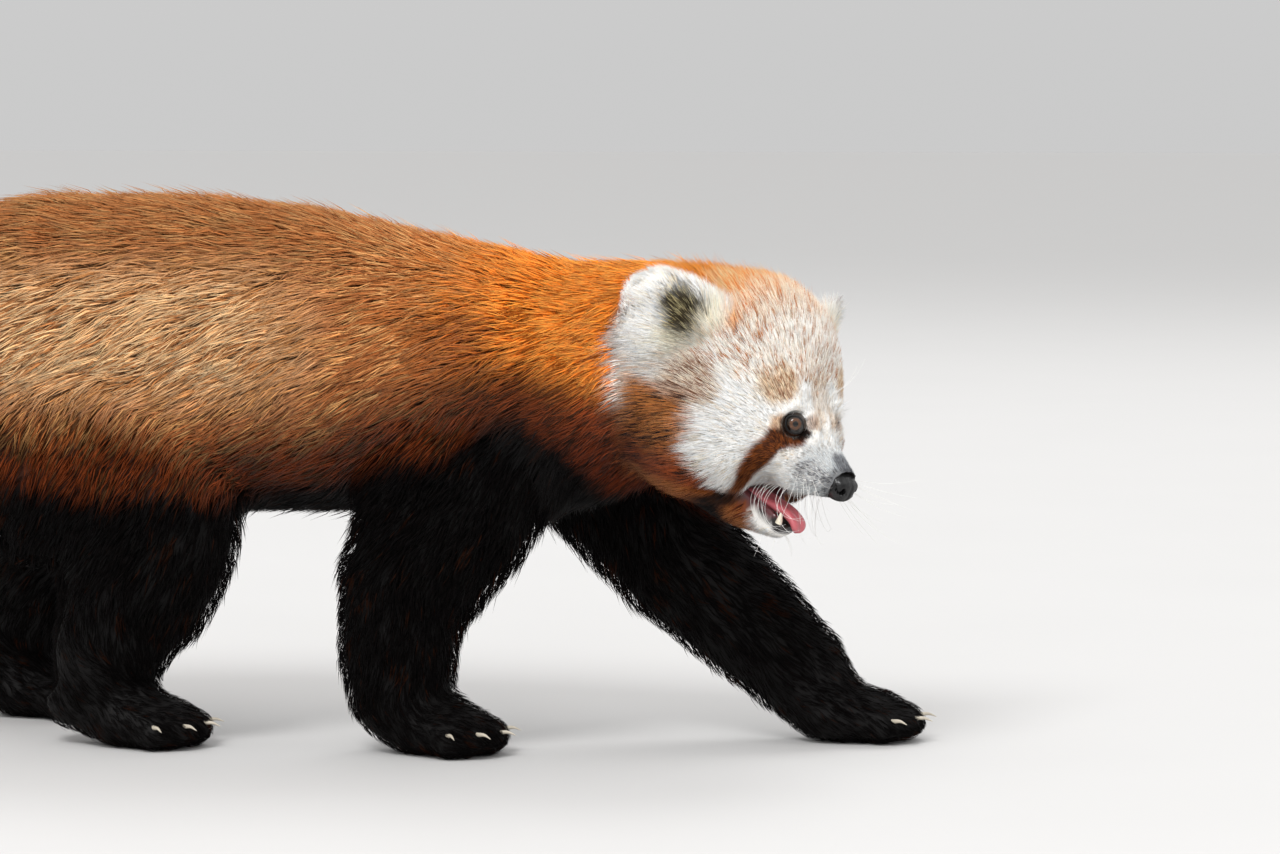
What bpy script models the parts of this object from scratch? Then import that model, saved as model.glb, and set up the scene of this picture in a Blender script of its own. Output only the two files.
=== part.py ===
# Red panda in mid stride, life size, with its coat: one named solid for each part of the body.
# Metres, +Z up, the animal walks towards +X. The origin is the middle of the bounding box's base.
# The body is modelled whole from tapered limbs and rounded masses, fused, and parted with thin cuts.
import math

import bmesh
import bpy
import numpy as np
from mathutils import Matrix, Vector
from mathutils.bvhtree import BVHTree

MM = 0.001

# Driving dimensions in millimetres, over the coat. The floor is at zero, the right wrist near x = 0
BACK_HEIGHT = 292.0
BELLY_HEIGHT = 119.0
TRUNK_HALF_WIDTH = 77.0
NECK_RADIUS = 55.0
GAP = 0.4

# The head's place is the middle of its nose pad, and its turn is from a head that looks along +X
NOSE_AT = (214.0, -55.0, 146.0)
HEAD_YAW_DEG, HEAD_PITCH_DEG, HEAD_ROLL_DEG = -30.0, 16.0, 5.0

# In the head's own axes: towards the nose, to the animal's right, towards the crown
EYES, EYE_RADIUS = {"right": (-31.2, 14.3, 20.6), "left": (-32.6, -14.3, 20.6)}, 6.5
NOSE_PAD_AT, NOSE_PAD_RADII = (-2.8, 0.0, -2.4), (7.7, 8.3, 8.2)
JAW_HINGE, JAW_TIP = (-76.0, 0.0, -22.0), (-28.0, 0.0, -38.0)
BETWEEN_LIPS, MOUTH_CORNER, THROAT = (-24.0, 0.0, -24.0), (-50.0, 0.0, -19.0), (-92.0, 0.0, -60.0)
JAW_CUT_HALF_WIDTH = Vector((0.0, 75.0, 0.0))
EARS = {
    "right": {"base": (-86, 43, 38), "tip": (-115, 68, 77), "opening": (0.60, 0.78, -0.10)},
    "left": {"base": (-80, -45, 36), "tip": (-96, -79, 67), "opening": (0.72, -0.68, 0.05)},
}
HEAD_MASSES = [((-82, 0, 27), (51, 56, 58)), ((-102, 0, 28), (42, 52, 50)), ((-38, 0, 22), (19, 12, 14))]
SIDE_MASSES = [
    ((-76, 34, -3), (38, 33, 33)),
    ((-52, 24, 8), (24, 20, 20)),
    ((-47, 15, 32), (20, 15, 14)),
    ((-26, 10, -4), (21, 10, 9.5)),
]
SNOUT = [(-66, 0, 4, 28, 27), (-42, 0, 4, 22, 20), (-22, 0, 3, 15.5, 15.5), (-7.5, 0, -0.5, 11, 11.5)]
JAW = [(0.0, 4, 30, 17), (0.35, 3, 25, 14), (0.7, 1, 16, 9), (1.0, 0, 9, 5.5)]
MOUTH = [(-55, 0, -20, 17, 3), (-44, 0, -22, 19, 6.5), (-28, 0, -23, 18, 9.5), (-8, 0, -26, 17, 13)]
TONGUE = [
    (-53, 0, -23.5, 8, 2.4),
    (-42, 0, -25.5, 7.5, 3),
    (-30, 0, -27, 5.4, 3),
    (-23, 0, -30, 5.2, 2.7),
    (-21, 0, -34, 4.4, 2.2),
]
# The right lower canine, whose rows are as a limb's
CANINE = [(-28.8, 7.2, -37, 1.7, 1.7), (-28.2, 7.2, -31, 1.5, 1.6), (-28.8, 7.0, -25.6, 0.7, 0.7)]
# An ear's rows are its height, half width and half thickness
EAR_WIDTHS = [(-16, 33, 12), (0, 34, 11.5), (16, 31, 10), (32, 24, 8.5), (44, 15, 7), (50, 9, 6)]

# Each limb is a row of stations: x, y, z, half width across the body, half depth
TRUNK_MIDDLE = (BACK_HEIGHT + BELLY_HEIGHT) / 2
TRUNK_HALF_DEPTH = (BACK_HEIGHT - BELLY_HEIGHT) / 2
TRUNK = [
    (x, 0, TRUNK_MIDDLE + rise, wide * TRUNK_HALF_WIDTH, deep * TRUNK_HALF_DEPTH)
    for x, rise, wide, deep in (
        (-300, 22, 0.50, 0.50),
        (-280, 17, 0.75, 0.77),
        (-250, 9, 0.92, 0.93),
        (-206, 1, 0.98, 0.99),
        (-143, 0, 1.00, 1.00),
        (-81, -3, 0.97, 0.95),
        (-27, -9, 0.92, 0.88),
        (27, -14, 0.88, 0.83),
        (62, -12, 0.80, 0.78),
        (88, -4, 0.72, 0.68),
    )
]
TAIL = [
    (-276, 0, 234, 36, 36),
    (-318, 5, 222, 41, 41),
    (-368, 12, 205, 45, 45),
    (-430, 22, 188, 48, 48),
    (-495, 34, 178, 48, 48),
    (-560, 45, 176, 43, 43),
    (-604, 52, 178, 31, 31),
]
TAIL_CUTS = ((1, 0.1), (2, 0.7), (4, 0.2))
TAIL_CUT_RADIUS = 74

# Discs that part the trunk: centre, normal and radius
NAPE_CUT = ((117, -10, TRUNK_MIDDLE - 6), (0.93, -0.25, -0.18), 67)
NECK_CUT = ((66, -2, TRUNK_MIDDLE - 8), (1, -0.05, -0.08), 96)
WAIST_CUT = ((-104, 0, TRUNK_MIDDLE), (1, 0, 0), 110)

# For each leg: its stations, the bowl that parts it from the trunk (apex, axis, radius, depth), and
# where its other joints are (station, part of the way to the next, cut radius)
LEGS = {
    "fore_right": {
        "stations": [
            (36, -32, 190, 30, 44),
            (22, -39, 156, 31, 47),
            (1, -42, 124, 32, 50),
            (-15, -44, 96, 31, 43),
            (-23, -45, 70, 30, 36),
            (-25, -45, 46, 28, 33),
            (-22, -45, 22, 26, 28),
        ],
        "bowl": ((26, -30, 184), (-0.20, -0.42, -0.88), 80, 95),
        "elbow": (3, 0.2, 52),
        "wrist": (5, 0.75, 42),
        "paw": {"at": (-15, -45), "turn": -16, "heel": 0},
    },
    "fore_left": {
        "stations": [
            (44, 30, 180, 29, 42),
            (68, 35, 144, 30, 45),
            (98, 39, 106, 29, 39),
            (132, 41, 75, 28, 36),
            (163, 42, 47, 27, 31),
            (184, 42, 27, 24, 25),
        ],
        "bowl": ((40, 28, 178), (0.46, 0.32, -0.82), 80, 95),
        "elbow": (2, 0.2, 50),
        "wrist": (4, 0.45, 40),
        "paw": {"at": (190, 41), "turn": 24, "heel": 0},
    },
    "hind_right": {
        "stations": [
            (-230, -34, 192, 34, 58),
            (-202, -41, 150, 36, 66),
            (-170, -46, 116, 35, 64),
            (-166, -49, 90, 32, 52),
            (-176, -50, 64, 28, 37),
            (-188, -50, 40, 25, 29),
        ],
        "bowl": ((-214, -32, 190), (0.28, -0.38, -0.88), 94, 110),
        "elbow": (3, 0.5, 72),
        "wrist": (4, 0.55, 46),
        "paw": {"at": (-176, -50), "turn": -10, "heel": 10},
    },
    "hind_left": {
        "stations": [
            (-234, 34, 192, 34, 58),
            (-228, 41, 152, 36, 60),
            (-228, 46, 118, 34, 54),
            (-242, 48, 90, 30, 42),
            (-262, 49, 64, 27, 33),
            (-276, 50, 42, 24, 28),
        ],
        "bowl": ((-222, 32, 190), (0.02, 0.40, -0.92), 94, 110),
        "elbow": (3, 0.3, 66),
        "wrist": (4, 0.55, 44),
        "paw": {"at": (-266, 50), "turn": 10, "heel": 14},
    },
}

# A paw, from the wrist or ankle forwards, with its five toes from the inner one out
PALM_AT, PALM_RADII = (11.0, 0.0, 13.5), (36.0, 26.0, 17.0)
HEEL_AT, HEEL_RADII = (-20.0, 0.0, 15.0), (28.0, 21.0, 16.0)
TOE_TURNS_DEG = (-46.0, -24.0, -4.0, 16.0, 36.0)
TOE_REACHES = (31.0, 38.5, 41.0, 39.0, 33.0)
TOE_HEIGHT, TOE_RADII = 10.0, (15.0, 9.5, 11.0)
CLAW_LENGTH, CLAW_RADIUS, CLAW_DROP_DEG = 15.0, 1.8, 52.0
CLAW_AT = (9.0, 0.0, 13.5)

# The fused body's fineness
VOXEL = 3.0
BODY_TRIANGLES = 1950

# Colour and roughness by what a piece's name holds, the first that fits
LOOKS = {
    "claw": ((0.62, 0.55, 0.45), 0.35),
    "eye": ((0.03, 0.015, 0.008), 0.08),
    "nose": ((0.012, 0.011, 0.012), 0.3),
    "tongue": ((0.55, 0.16, 0.17), 0.35),
    "ear_": ((0.85, 0.80, 0.70), 0.85),
    "head": ((0.75, 0.60, 0.46), 0.85),
    "jaw": ((0.70, 0.58, 0.45), 0.85),
    "fore_": ((0.015, 0.010, 0.008), 0.8),
    "hind_": ((0.02, 0.012, 0.009), 0.8),
    "": ((0.42, 0.14, 0.04), 0.85),
}


def clear_scene():
    for obj in list(bpy.data.objects):
        bpy.data.objects.remove(obj)


def material(name, colour, roughness):
    mat = bpy.data.materials.new(name)
    mat.use_nodes = True
    shader = mat.node_tree.nodes["Principled BSDF"]
    shader.inputs["Base Color"].default_value = (*colour, 1.0)
    shader.inputs["Roughness"].default_value = roughness
    shader.inputs["Metallic"].default_value = 0.0
    return mat


def new_object(name, mesh):
    obj = bpy.data.objects.new(name, mesh)
    bpy.context.scene.collection.objects.link(obj)
    return obj


def object_of(bm, name):
    """An object made from bm, with its faces turned outwards. It frees bm."""
    bmesh.ops.triangulate(bm, faces=bm.faces)
    bmesh.ops.recalc_face_normals(bm, faces=bm.faces)
    mesh = bpy.data.meshes.new(name)
    bm.to_mesh(mesh)
    bm.free()
    return new_object(name, mesh)


def cutter_of(bm):
    obj = object_of(bm, "cutter")
    obj.hide_render = True
    obj.display_type = "WIRE"
    return obj


def depsgraph():
    return bpy.context.evaluated_depsgraph_get()


def evaluated(obj):
    """Replaces obj's mesh by what its modifiers make of it."""
    mesh = bpy.data.meshes.new_from_object(obj.evaluated_get(depsgraph()))
    obj.modifiers.clear()
    obj.data = mesh


def vertices_of(obj):
    places = np.empty(len(obj.data.vertices) * 3)
    obj.data.vertices.foreach_get("co", places)
    return places.reshape(-1, 3)


# Curves and masses that the body is fused from


def spline(stations, samples):
    """Rows spread along a smooth curve through the given rows of numbers."""
    rows = np.array(stations, float)
    rows = np.vstack([2 * rows[0] - rows[1], rows, 2 * rows[-1] - rows[-2]])
    found = []
    last = len(rows) - 3
    for i in range(1, last + 1):
        before, start, end, after = rows[i - 1 : i + 3]
        bend = 2 * before - 5 * start + 4 * end - after
        twist = 3 * start - before - 3 * end + after
        for t in np.linspace(0, 1, samples, endpoint=i == last):
            found.append(0.5 * (2 * start + (end - before) * t + bend * t**2 + twist * t**3))
    return np.array(found)


def ring(bm, centre, along, side, half_width, half_depth, sides):
    """A ring of vertices round an axis, its width towards side."""
    across = (side - along * side.dot(along)).normalized()
    deep = along.cross(across)
    made = []
    for i in range(sides):
        turn = 2 * math.pi * i / sides
        reach = across * half_width * math.cos(turn) + deep * half_depth * math.sin(turn)
        made.append(bm.verts.new(centre + reach))
    return made


def limb(bm, stations, side=(0, 1, 0), sides=20, samples=4, grow=0.0, dome=(38, 70)):
    """A closed tapered tube through stations, grown by grow all round, its ends domed by rings."""
    rows = spline(stations, samples)
    rows[:, 3:] += grow
    axis = np.gradient(rows[:, :3], axis=0)
    axis /= np.linalg.norm(axis, axis=1)[:, None]
    steps = [(row, Vector(along), 0.0, 1.0) for row, along in zip(rows, axis)]
    for angle in map(math.radians, dome):
        push = 0.7 * math.sin(angle)
        steps.insert(0, (rows[0], Vector(axis[0]), -push * min(rows[0][3:]), math.cos(angle)))
        steps.append((rows[-1], Vector(axis[-1]), push * min(rows[-1][3:]), math.cos(angle)))
    rings = []
    for row, along, shift, scale in steps:
        centre = Vector(row[:3]) + along * shift
        rings.append(ring(bm, centre, along, Vector(side), row[3] * scale, row[4] * scale, sides))
    for first, second in zip(rings, rings[1:]):
        for i in range(sides):
            j = (i + 1) % sides
            bm.faces.new((first[i], first[j], second[j], second[i]))
    bm.faces.new(list(reversed(rings[0])))
    bm.faces.new(rings[-1])


def mass(bm, centre, radii, frame=None, segments=24):
    """An ellipsoid. Its centre and radii are in frame, or in the model's own axes."""
    made = bmesh.ops.create_uvsphere(bm, u_segments=segments, v_segments=segments // 2, radius=1.0)
    place = Matrix.Translation(centre) @ Matrix.Diagonal((*radii, 1.0))
    bmesh.ops.transform(bm, matrix=(frame or Matrix()) @ place, verts=made["verts"])


def axes_frame(origin, x_axis, y_axis, z_axis):
    turn = Matrix((x_axis, y_axis, z_axis)).transposed().to_4x4()
    return Matrix.Translation(origin) @ turn


def placed(stations, frame):
    return [(*(frame @ Vector(row[:3])), *row[3:]) for row in stations]


def mirrored(point, side):
    return (point[0], point[1] * side, point[2])


# The head


def head_frame():
    yaw, pitch, roll = (math.radians(a) for a in (HEAD_YAW_DEG, HEAD_PITCH_DEG, HEAD_ROLL_DEG))
    forward = Vector((math.cos(yaw) * math.cos(pitch), math.sin(yaw) * math.cos(pitch), -math.sin(pitch)))
    level = Vector((math.sin(yaw), -math.cos(yaw), 0.0))
    upright = level.cross(forward)
    right = level * math.cos(roll) + upright * math.sin(roll)
    return axes_frame(NOSE_AT, forward, right, right.cross(forward))


HEAD = head_frame()
HEAD_SIDE = HEAD.to_3x3() @ Vector((0, 1, 0))


def add_head(bm):
    """The skull, brow, cheeks and muzzle, over the coat."""
    for centre, radii in HEAD_MASSES:
        mass(bm, centre, radii, HEAD)
    for centre, radii in SIDE_MASSES:
        mass(bm, centre, radii, HEAD)
        mass(bm, mirrored(centre, -1), radii, HEAD)
    limb(bm, placed(SNOUT, HEAD), side=HEAD_SIDE)


def add_jaw(bm):
    """The lower jaw, from its hinge to its tip. A row of JAW is its part of the way, drop and widths."""
    hinge, tip = Vector(JAW_HINGE), Vector(JAW_TIP)
    stations = []
    for part, drop, wide, deep in JAW:
        stations.append((*(hinge.lerp(tip, part) - Vector((0, 0, drop))), wide, deep))
    limb(bm, placed(stations, HEAD), side=HEAD_SIDE)


def ear_frame(side):
    """The ear's own axes: out of its hollow, across it, and from its base to its tip."""
    ear = EARS[side]
    base, tip = HEAD @ Vector(ear["base"]), HEAD @ Vector(ear["tip"])
    along = (tip - base).normalized()
    opening = HEAD.to_3x3() @ Vector(ear["opening"])
    opening = (opening - along * opening.dot(along)).normalized()
    return axes_frame(base, opening, along.cross(opening), along)


def add_ear(bm, side, grow=0.0):
    frame = ear_frame(side)
    stations = [(0.0, 0.0, height, wide, thick) for height, wide, thick in EAR_WIDTHS]
    across = frame.to_3x3() @ Vector((0, 1, 0))
    limb(bm, placed(stations, frame), side=across, sides=12, samples=1, grow=grow)


def add_mouth(bm):
    """The open mouth's hollow, between the lips and back to their corners."""
    limb(bm, placed(MOUTH, HEAD), side=HEAD_SIDE, sides=12, samples=1)


def add_tongue(bm, grow=0.0):
    limb(bm, placed(TONGUE, HEAD), side=HEAD_SIDE, sides=8, samples=1, grow=grow, dome=(50,))


def add_canine(bm, side):
    stations = [(*mirrored(row[:3], side), *row[3:]) for row in CANINE]
    limb(bm, placed(stations, HEAD), side=HEAD_SIDE, sides=7, samples=1, dome=(50,))


def add_eye(bm, side, grow=0.0):
    mass(bm, EYES[side], (EYE_RADIUS + grow,) * 3, HEAD, 12)


def add_nose(bm, grow=0.0):
    mass(bm, NOSE_PAD_AT, [radius + grow for radius in NOSE_PAD_RADII], HEAD, 12)


# The legs and paws


def paw_frame(leg):
    paw = LEGS[leg]["paw"]
    return Matrix.Translation((*paw["at"], 0)) @ Matrix.Rotation(math.radians(paw["turn"]), 4, "Z")


def toe_frames(leg):
    """Each toe's axes, x along the toe, from the inner toe to the outer one."""
    outwards = -1 if leg.endswith("right") else 1
    found = []
    for angle, reach in zip(TOE_TURNS_DEG, TOE_REACHES):
        turn = Matrix.Rotation(math.radians(angle * outwards), 4, "Z")
        found.append(paw_frame(leg) @ turn @ Matrix.Translation((reach, 0, 0)))
    return found


def add_leg(bm, leg):
    limb(bm, LEGS[leg]["stations"], sides=22)
    frame = paw_frame(leg)
    mass(bm, PALM_AT, PALM_RADII, frame)
    heel = LEGS[leg]["paw"]["heel"]
    if heel:
        mass(bm, Vector(HEEL_AT) + Vector((0, 0, heel / 2)), HEEL_RADII, frame)
    for toe in toe_frames(leg):
        mass(bm, (0, 0, TOE_HEIGHT), TOE_RADII, toe, 16)


def add_claw(bm, toe, grow=0.0):
    """A claw that curves down from its toe, thickest where it leaves the toe."""
    place = Vector(CLAW_AT)
    stations = []
    for part, thickness in ((0.0, 1.0), (0.5, 0.9), (1.0, 0.4)):
        stations.append((*(toe @ place), CLAW_RADIUS * thickness * 0.8, CLAW_RADIUS * thickness))
        drop = math.radians(CLAW_DROP_DEG * (0.3 + part))
        place = place + Vector((math.cos(drop), 0, -math.sin(drop))) * CLAW_LENGTH / 2
    across = toe.to_3x3() @ Vector((0, 1, 0))
    limb(bm, stations, side=across, sides=5, samples=1, grow=grow, dome=(45,))


# The whole animal


def fused_body():
    """All the flesh and coat as one closed mesh, standing on small flats at the floor."""
    bm = bmesh.new()
    limb(bm, TRUNK, sides=28)
    limb(bm, neck_stations(), sides=24)
    limb(bm, TAIL, sides=22)
    add_head(bm)
    add_jaw(bm)
    for leg in LEGS:
        add_leg(bm, leg)
    body = object_of(bm, "body")
    remesh = body.modifiers.new("Fuse", "REMESH")
    remesh.mode = "VOXEL"
    remesh.voxel_size = VOXEL
    evaluated(body)
    soften(body)
    thin_out(body)
    flatten_soles(body)
    return body


def neck_stations():
    nape = HEAD @ Vector((-96, 0, 20))
    rise = TRUNK_MIDDLE - 6
    return [
        (50, 0, rise - 3, NECK_RADIUS, NECK_RADIUS + 6),
        (86, -4, rise, NECK_RADIUS, NECK_RADIUS + 3),
        (114, -10, rise + 1, NECK_RADIUS, NECK_RADIUS + 1),
        (*nape, NECK_RADIUS, NECK_RADIUS),
    ]


def keen_places():
    """Points and the reach round each within which the body's shape is kept sharper."""
    places = [(HEAD @ Vector((-30, 0, 2)), 62)]
    places += [(paw_frame(leg) @ Vector((26, 0, 8)), 48) for leg in LEGS]
    return places


def keenness(obj):
    """For each vertex, 1 in the middle of a keen place and 0 away from them all."""
    places = vertices_of(obj)
    keen = np.zeros(len(places))
    for centre, reach in keen_places():
        away = np.linalg.norm(places - np.array(centre), axis=1)
        keen = np.maximum(keen, np.clip(1.6 * (1 - away / reach), 0, 1))
    return keen


def weigh(obj, name, weights):
    """A vertex group with the given weights, in tenths."""
    group = obj.vertex_groups.new(name=name)
    tenths = np.round(weights * 10)
    for level in np.unique(tenths):
        group.add(np.nonzero(tenths == level)[0].tolist(), level / 10, "REPLACE")
    return name


def soften(body):
    """Smooths the joins between the masses, least on the face and paws."""
    smooth = body.modifiers.new("Soften", "SMOOTH")
    smooth.vertex_group = weigh(body, "soft", 1 - 0.9 * keenness(body))
    smooth.factor = 0.5
    smooth.iterations = 40
    evaluated(body)


def flatten_soles(body):
    """Cuts off what reaches under the floor, so that each paw stands on a small flat."""
    bm = bmesh.new()
    bm.from_mesh(body.data)
    geometry = bm.verts[:] + bm.edges[:] + bm.faces[:]
    cut = bmesh.ops.bisect_plane(
        bm, geom=geometry, dist=1e-5, plane_co=(0, 0, 0), plane_no=(0, 0, -1), clear_outer=True
    )
    rims = [edge for edge in cut["geom_cut"] if isinstance(edge, bmesh.types.BMEdge)]
    bmesh.ops.holes_fill(bm, edges=rims, sides=0)
    bmesh.ops.triangulate(bm, faces=bm.faces)
    bm.to_mesh(body.data)
    bm.free()


def thin_out(body):
    """Fewer triangles, kept closest together on the face and paws."""
    body.vertex_groups.clear()
    decimate = body.modifiers.new("Thin", "DECIMATE")
    decimate.vertex_group = weigh(body, "plain", 1 - 0.8 * keenness(body))
    body.data.calc_loop_triangles()
    decimate.ratio = BODY_TRIANGLES / len(body.data.loop_triangles)
    evaluated(body)
    body.vertex_groups.clear()


# Cutters


def disc(centre, normal, radius):
    """A thin round cutter."""
    bm = bmesh.new()
    bmesh.ops.create_cone(bm, cap_ends=True, segments=16, radius1=radius, radius2=radius, depth=GAP)
    turn = Vector(normal).to_track_quat("Z", "Y").to_matrix().to_4x4()
    bmesh.ops.transform(bm, matrix=Matrix.Translation(centre) @ turn, verts=bm.verts)
    return cutter_of(bm)


def disc_on(stations, index, part, radius):
    """A disc across a limb, part of the way from one station to the next."""
    first, second = (Vector(stations[i][:3]) for i in (index, index + 1))
    return disc(first.lerp(second, part), second - first, radius)


def bowl(apex, axis, radius, depth):
    """A thin bowl that opens along its axis, for the rounded joint between the trunk and a leg."""
    bm = bmesh.new()
    steps = 4
    outer, inner = [], []
    for i in range(1, steps + 1):
        part = i / steps
        across, along = radius * part, depth * part**2
        slope = math.hypot(radius, 2 * depth * part)
        outer.append((across, along))
        inner.append((across - GAP * 2 * depth * part / slope, along + GAP * radius / slope))
    profile = [(0.0, 0.0)] + outer + inner[::-1] + [(0.0, GAP)]
    points = [bm.verts.new((across, 0.0, along)) for across, along in profile]
    edges = [bm.edges.new(pair) for pair in zip(points, points[1:])]
    bmesh.ops.spin(bm, geom=edges, axis=(0, 0, 1), cent=(0, 0, 0), angle=2 * math.pi, steps=14)
    bmesh.ops.remove_doubles(bm, verts=bm.verts, dist=1e-4)
    turn = Vector(axis).to_track_quat("Z", "Y").to_matrix().to_4x4()
    bmesh.ops.transform(bm, matrix=Matrix.Translation(apex) @ turn, verts=bm.verts)
    return cutter_of(bm)


def jaw_cutter():
    """A thin folded cutter, from between the lips to the mouth's corners, then down to the throat."""
    bm = bmesh.new()
    fold = [Vector(BETWEEN_LIPS), Vector(MOUTH_CORNER), Vector(THROAT)]
    gap = Vector((GAP, 0, -1.1 * GAP))
    outline = fold + [point + gap for point in reversed(fold)]
    near = bm.faces.new([bm.verts.new(HEAD @ (point - JAW_CUT_HALF_WIDTH)) for point in outline])
    made = bmesh.ops.extrude_face_region(bm, geom=[near])
    far = [vertex for vertex in made["geom"] if isinstance(vertex, bmesh.types.BMVert)]
    bmesh.ops.translate(bm, vec=HEAD.to_3x3() @ (2 * JAW_CUT_HALF_WIDTH), verts=far)
    return cutter_of(bm)


def combine(obj, other, operation):
    """Applies a Boolean of obj with the other object, which it uses up."""
    boolean = obj.modifiers.new("Combine", "BOOLEAN")
    boolean.operation = operation
    boolean.solver = "EXACT"
    boolean.object = other
    evaluated(obj)
    bpy.data.objects.remove(other)


def subtract(obj, cutter):
    combine(obj, cutter, "DIFFERENCE")


def loose_parts(mesh):
    """The mesh's separate bodies, as lists of face indices."""
    owner = {}
    for polygon in mesh.polygons:
        for vertex in polygon.vertices:
            owner.setdefault(vertex, []).append(polygon.index)
    unseen = set(range(len(mesh.polygons)))
    parts = []
    while unseen:
        found, border = [], [unseen.pop()]
        while border:
            face = border.pop()
            found.append(face)
            for vertex in mesh.polygons[face].vertices:
                fresh = [other for other in owner[vertex] if other in unseen]
                unseen.difference_update(fresh)
                border.extend(fresh)
        parts.append(found)
    return parts


def keep_faces(mesh, kept, name):
    """A new object with only the kept faces of mesh."""
    kept = set(kept)
    bm = bmesh.new()
    bm.from_mesh(mesh)
    dropped = [face for face in bm.faces if face.index not in kept]
    bmesh.ops.delete(bm, geom=dropped, context="FACES")
    return object_of(bm, name)


def part_with(whole, cutter, name, seed):
    """Cuts whole in two. The half nearest to seed becomes a new object, and whole keeps the rest."""
    subtract(whole, cutter)
    parts = loose_parts(whole.data)
    if len(parts) != 2:
        raise RuntimeError(f"the cut for {name} makes {[len(part) for part in parts]} faces")
    halves = [keep_faces(whole.data, part, name) for part in parts]
    halves.sort(key=lambda half: BVHTree.FromObject(half, depsgraph()).find_nearest(seed)[3])
    piece, rest = halves
    whole.data = rest.data
    bpy.data.objects.remove(rest)
    return piece


def inset(host, name, add_shape, *args):
    """A separate piece seated in its host with a thin gap all round."""
    bm = bmesh.new()
    add_shape(bm, *args)
    piece = object_of(bm, name)
    bm = bmesh.new()
    add_shape(bm, *args, grow=GAP)
    subtract(host, cutter_of(bm))
    return piece


# The parting


def part_head(body):
    pieces = {f"ear_{side}": inset(body, f"ear_{side}", add_ear, side) for side in EARS}
    pieces["head"] = part_with(body, disc(*NAPE_CUT), "head", Vector(NOSE_AT))
    bm = bmesh.new()
    add_mouth(bm)
    subtract(pieces["head"], cutter_of(bm))
    pieces["lower_jaw"] = part_with(pieces["head"], jaw_cutter(), "lower_jaw", HEAD @ Vector(JAW_TIP))
    for side in (1, -1):
        bm = bmesh.new()
        add_canine(bm, side)
        combine(pieces["lower_jaw"], object_of(bm, "canine"), "UNION")
    return pieces


def part_trunk(body):
    pieces = {}
    pieces["neck"] = part_with(body, disc(*NECK_CUT), "neck", Vector(NAPE_CUT[0]))
    rest = body
    tail_tip = Vector(TAIL[-1][:3])
    for number, (index, part) in enumerate(TAIL_CUTS, 1):
        cut = disc_on(TAIL, index, part, TAIL_CUT_RADIUS)
        rest = part_with(rest, cut, f"tail_{number}", tail_tip)
        pieces[f"tail_{number}"] = rest
    pieces["chest"] = part_with(body, disc(*WAIST_CUT), "chest", Vector(NECK_CUT[0]))
    pieces["rump"] = body
    return pieces


def part_leg(body, leg):
    rule = LEGS[leg]
    stations = rule["stations"]
    foot = paw_frame(leg) @ Vector(PALM_AT)
    upper = part_with(body, bowl(*rule["bowl"]), f"{leg}_upper", foot)
    lower = part_with(upper, disc_on(stations, *rule["elbow"]), f"{leg}_lower", foot)
    paw = part_with(lower, disc_on(stations, *rule["wrist"]), f"{leg}_paw", foot)
    return {f"{leg}_upper": upper, f"{leg}_lower": lower, f"{leg}_paw": paw}


def inset_pieces(pieces):
    found = {}
    for side in EYES:
        found[f"eye_{side}"] = inset(pieces["head"], f"eye_{side}", add_eye, side)
    found["nose"] = inset(pieces["head"], "nose", add_nose)
    found["tongue"] = inset(pieces["lower_jaw"], "tongue", add_tongue)
    for leg in LEGS:
        for number, toe in enumerate(toe_frames(leg), 1):
            name = f"{leg}_claw_{number}"
            found[name] = inset(pieces[f"{leg}_paw"], name, add_claw, toe)
    return found


def finish(pieces):
    """Gives every piece its material, and puts the origin at the middle of the box's base."""
    corners = np.vstack([vertices_of(piece) for piece in pieces.values()])
    low, high = corners.min(axis=0), corners.max(axis=0)
    middle = Vector((*((low + high) / 2)[:2], low[2]))
    for name, piece in pieces.items():
        piece.name = name
        look = next(LOOKS[key] for key in LOOKS if key in name)
        piece.data.transform(Matrix.Scale(MM, 4) @ Matrix.Translation(-middle))
        piece.data.materials.clear()
        piece.data.materials.append(material(f"{name}_finish", *look))


def main():
    clear_scene()
    body = fused_body()
    pieces = part_head(body)
    for leg in LEGS:
        pieces.update(part_leg(body, leg))
    pieces.update(part_trunk(body))
    pieces.update(inset_pieces(pieces))
    finish(pieces)


main()
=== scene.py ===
"""Looks of a life-size walking red panda: one skin, a coat of mesh tufts, face, claws and a stage.

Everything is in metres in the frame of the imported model. The animal walks towards +X and its left
side is +Y. Places on the head are in millimetres in the head's own axes: forwards, right and up.
"""

import math

import bmesh
import bpy
import numpy as np
from bpy.props import FloatProperty, FloatVectorProperty, IntProperty, PointerProperty
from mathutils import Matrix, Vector, kdtree
from mathutils.bvhtree import BVHTree


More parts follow.
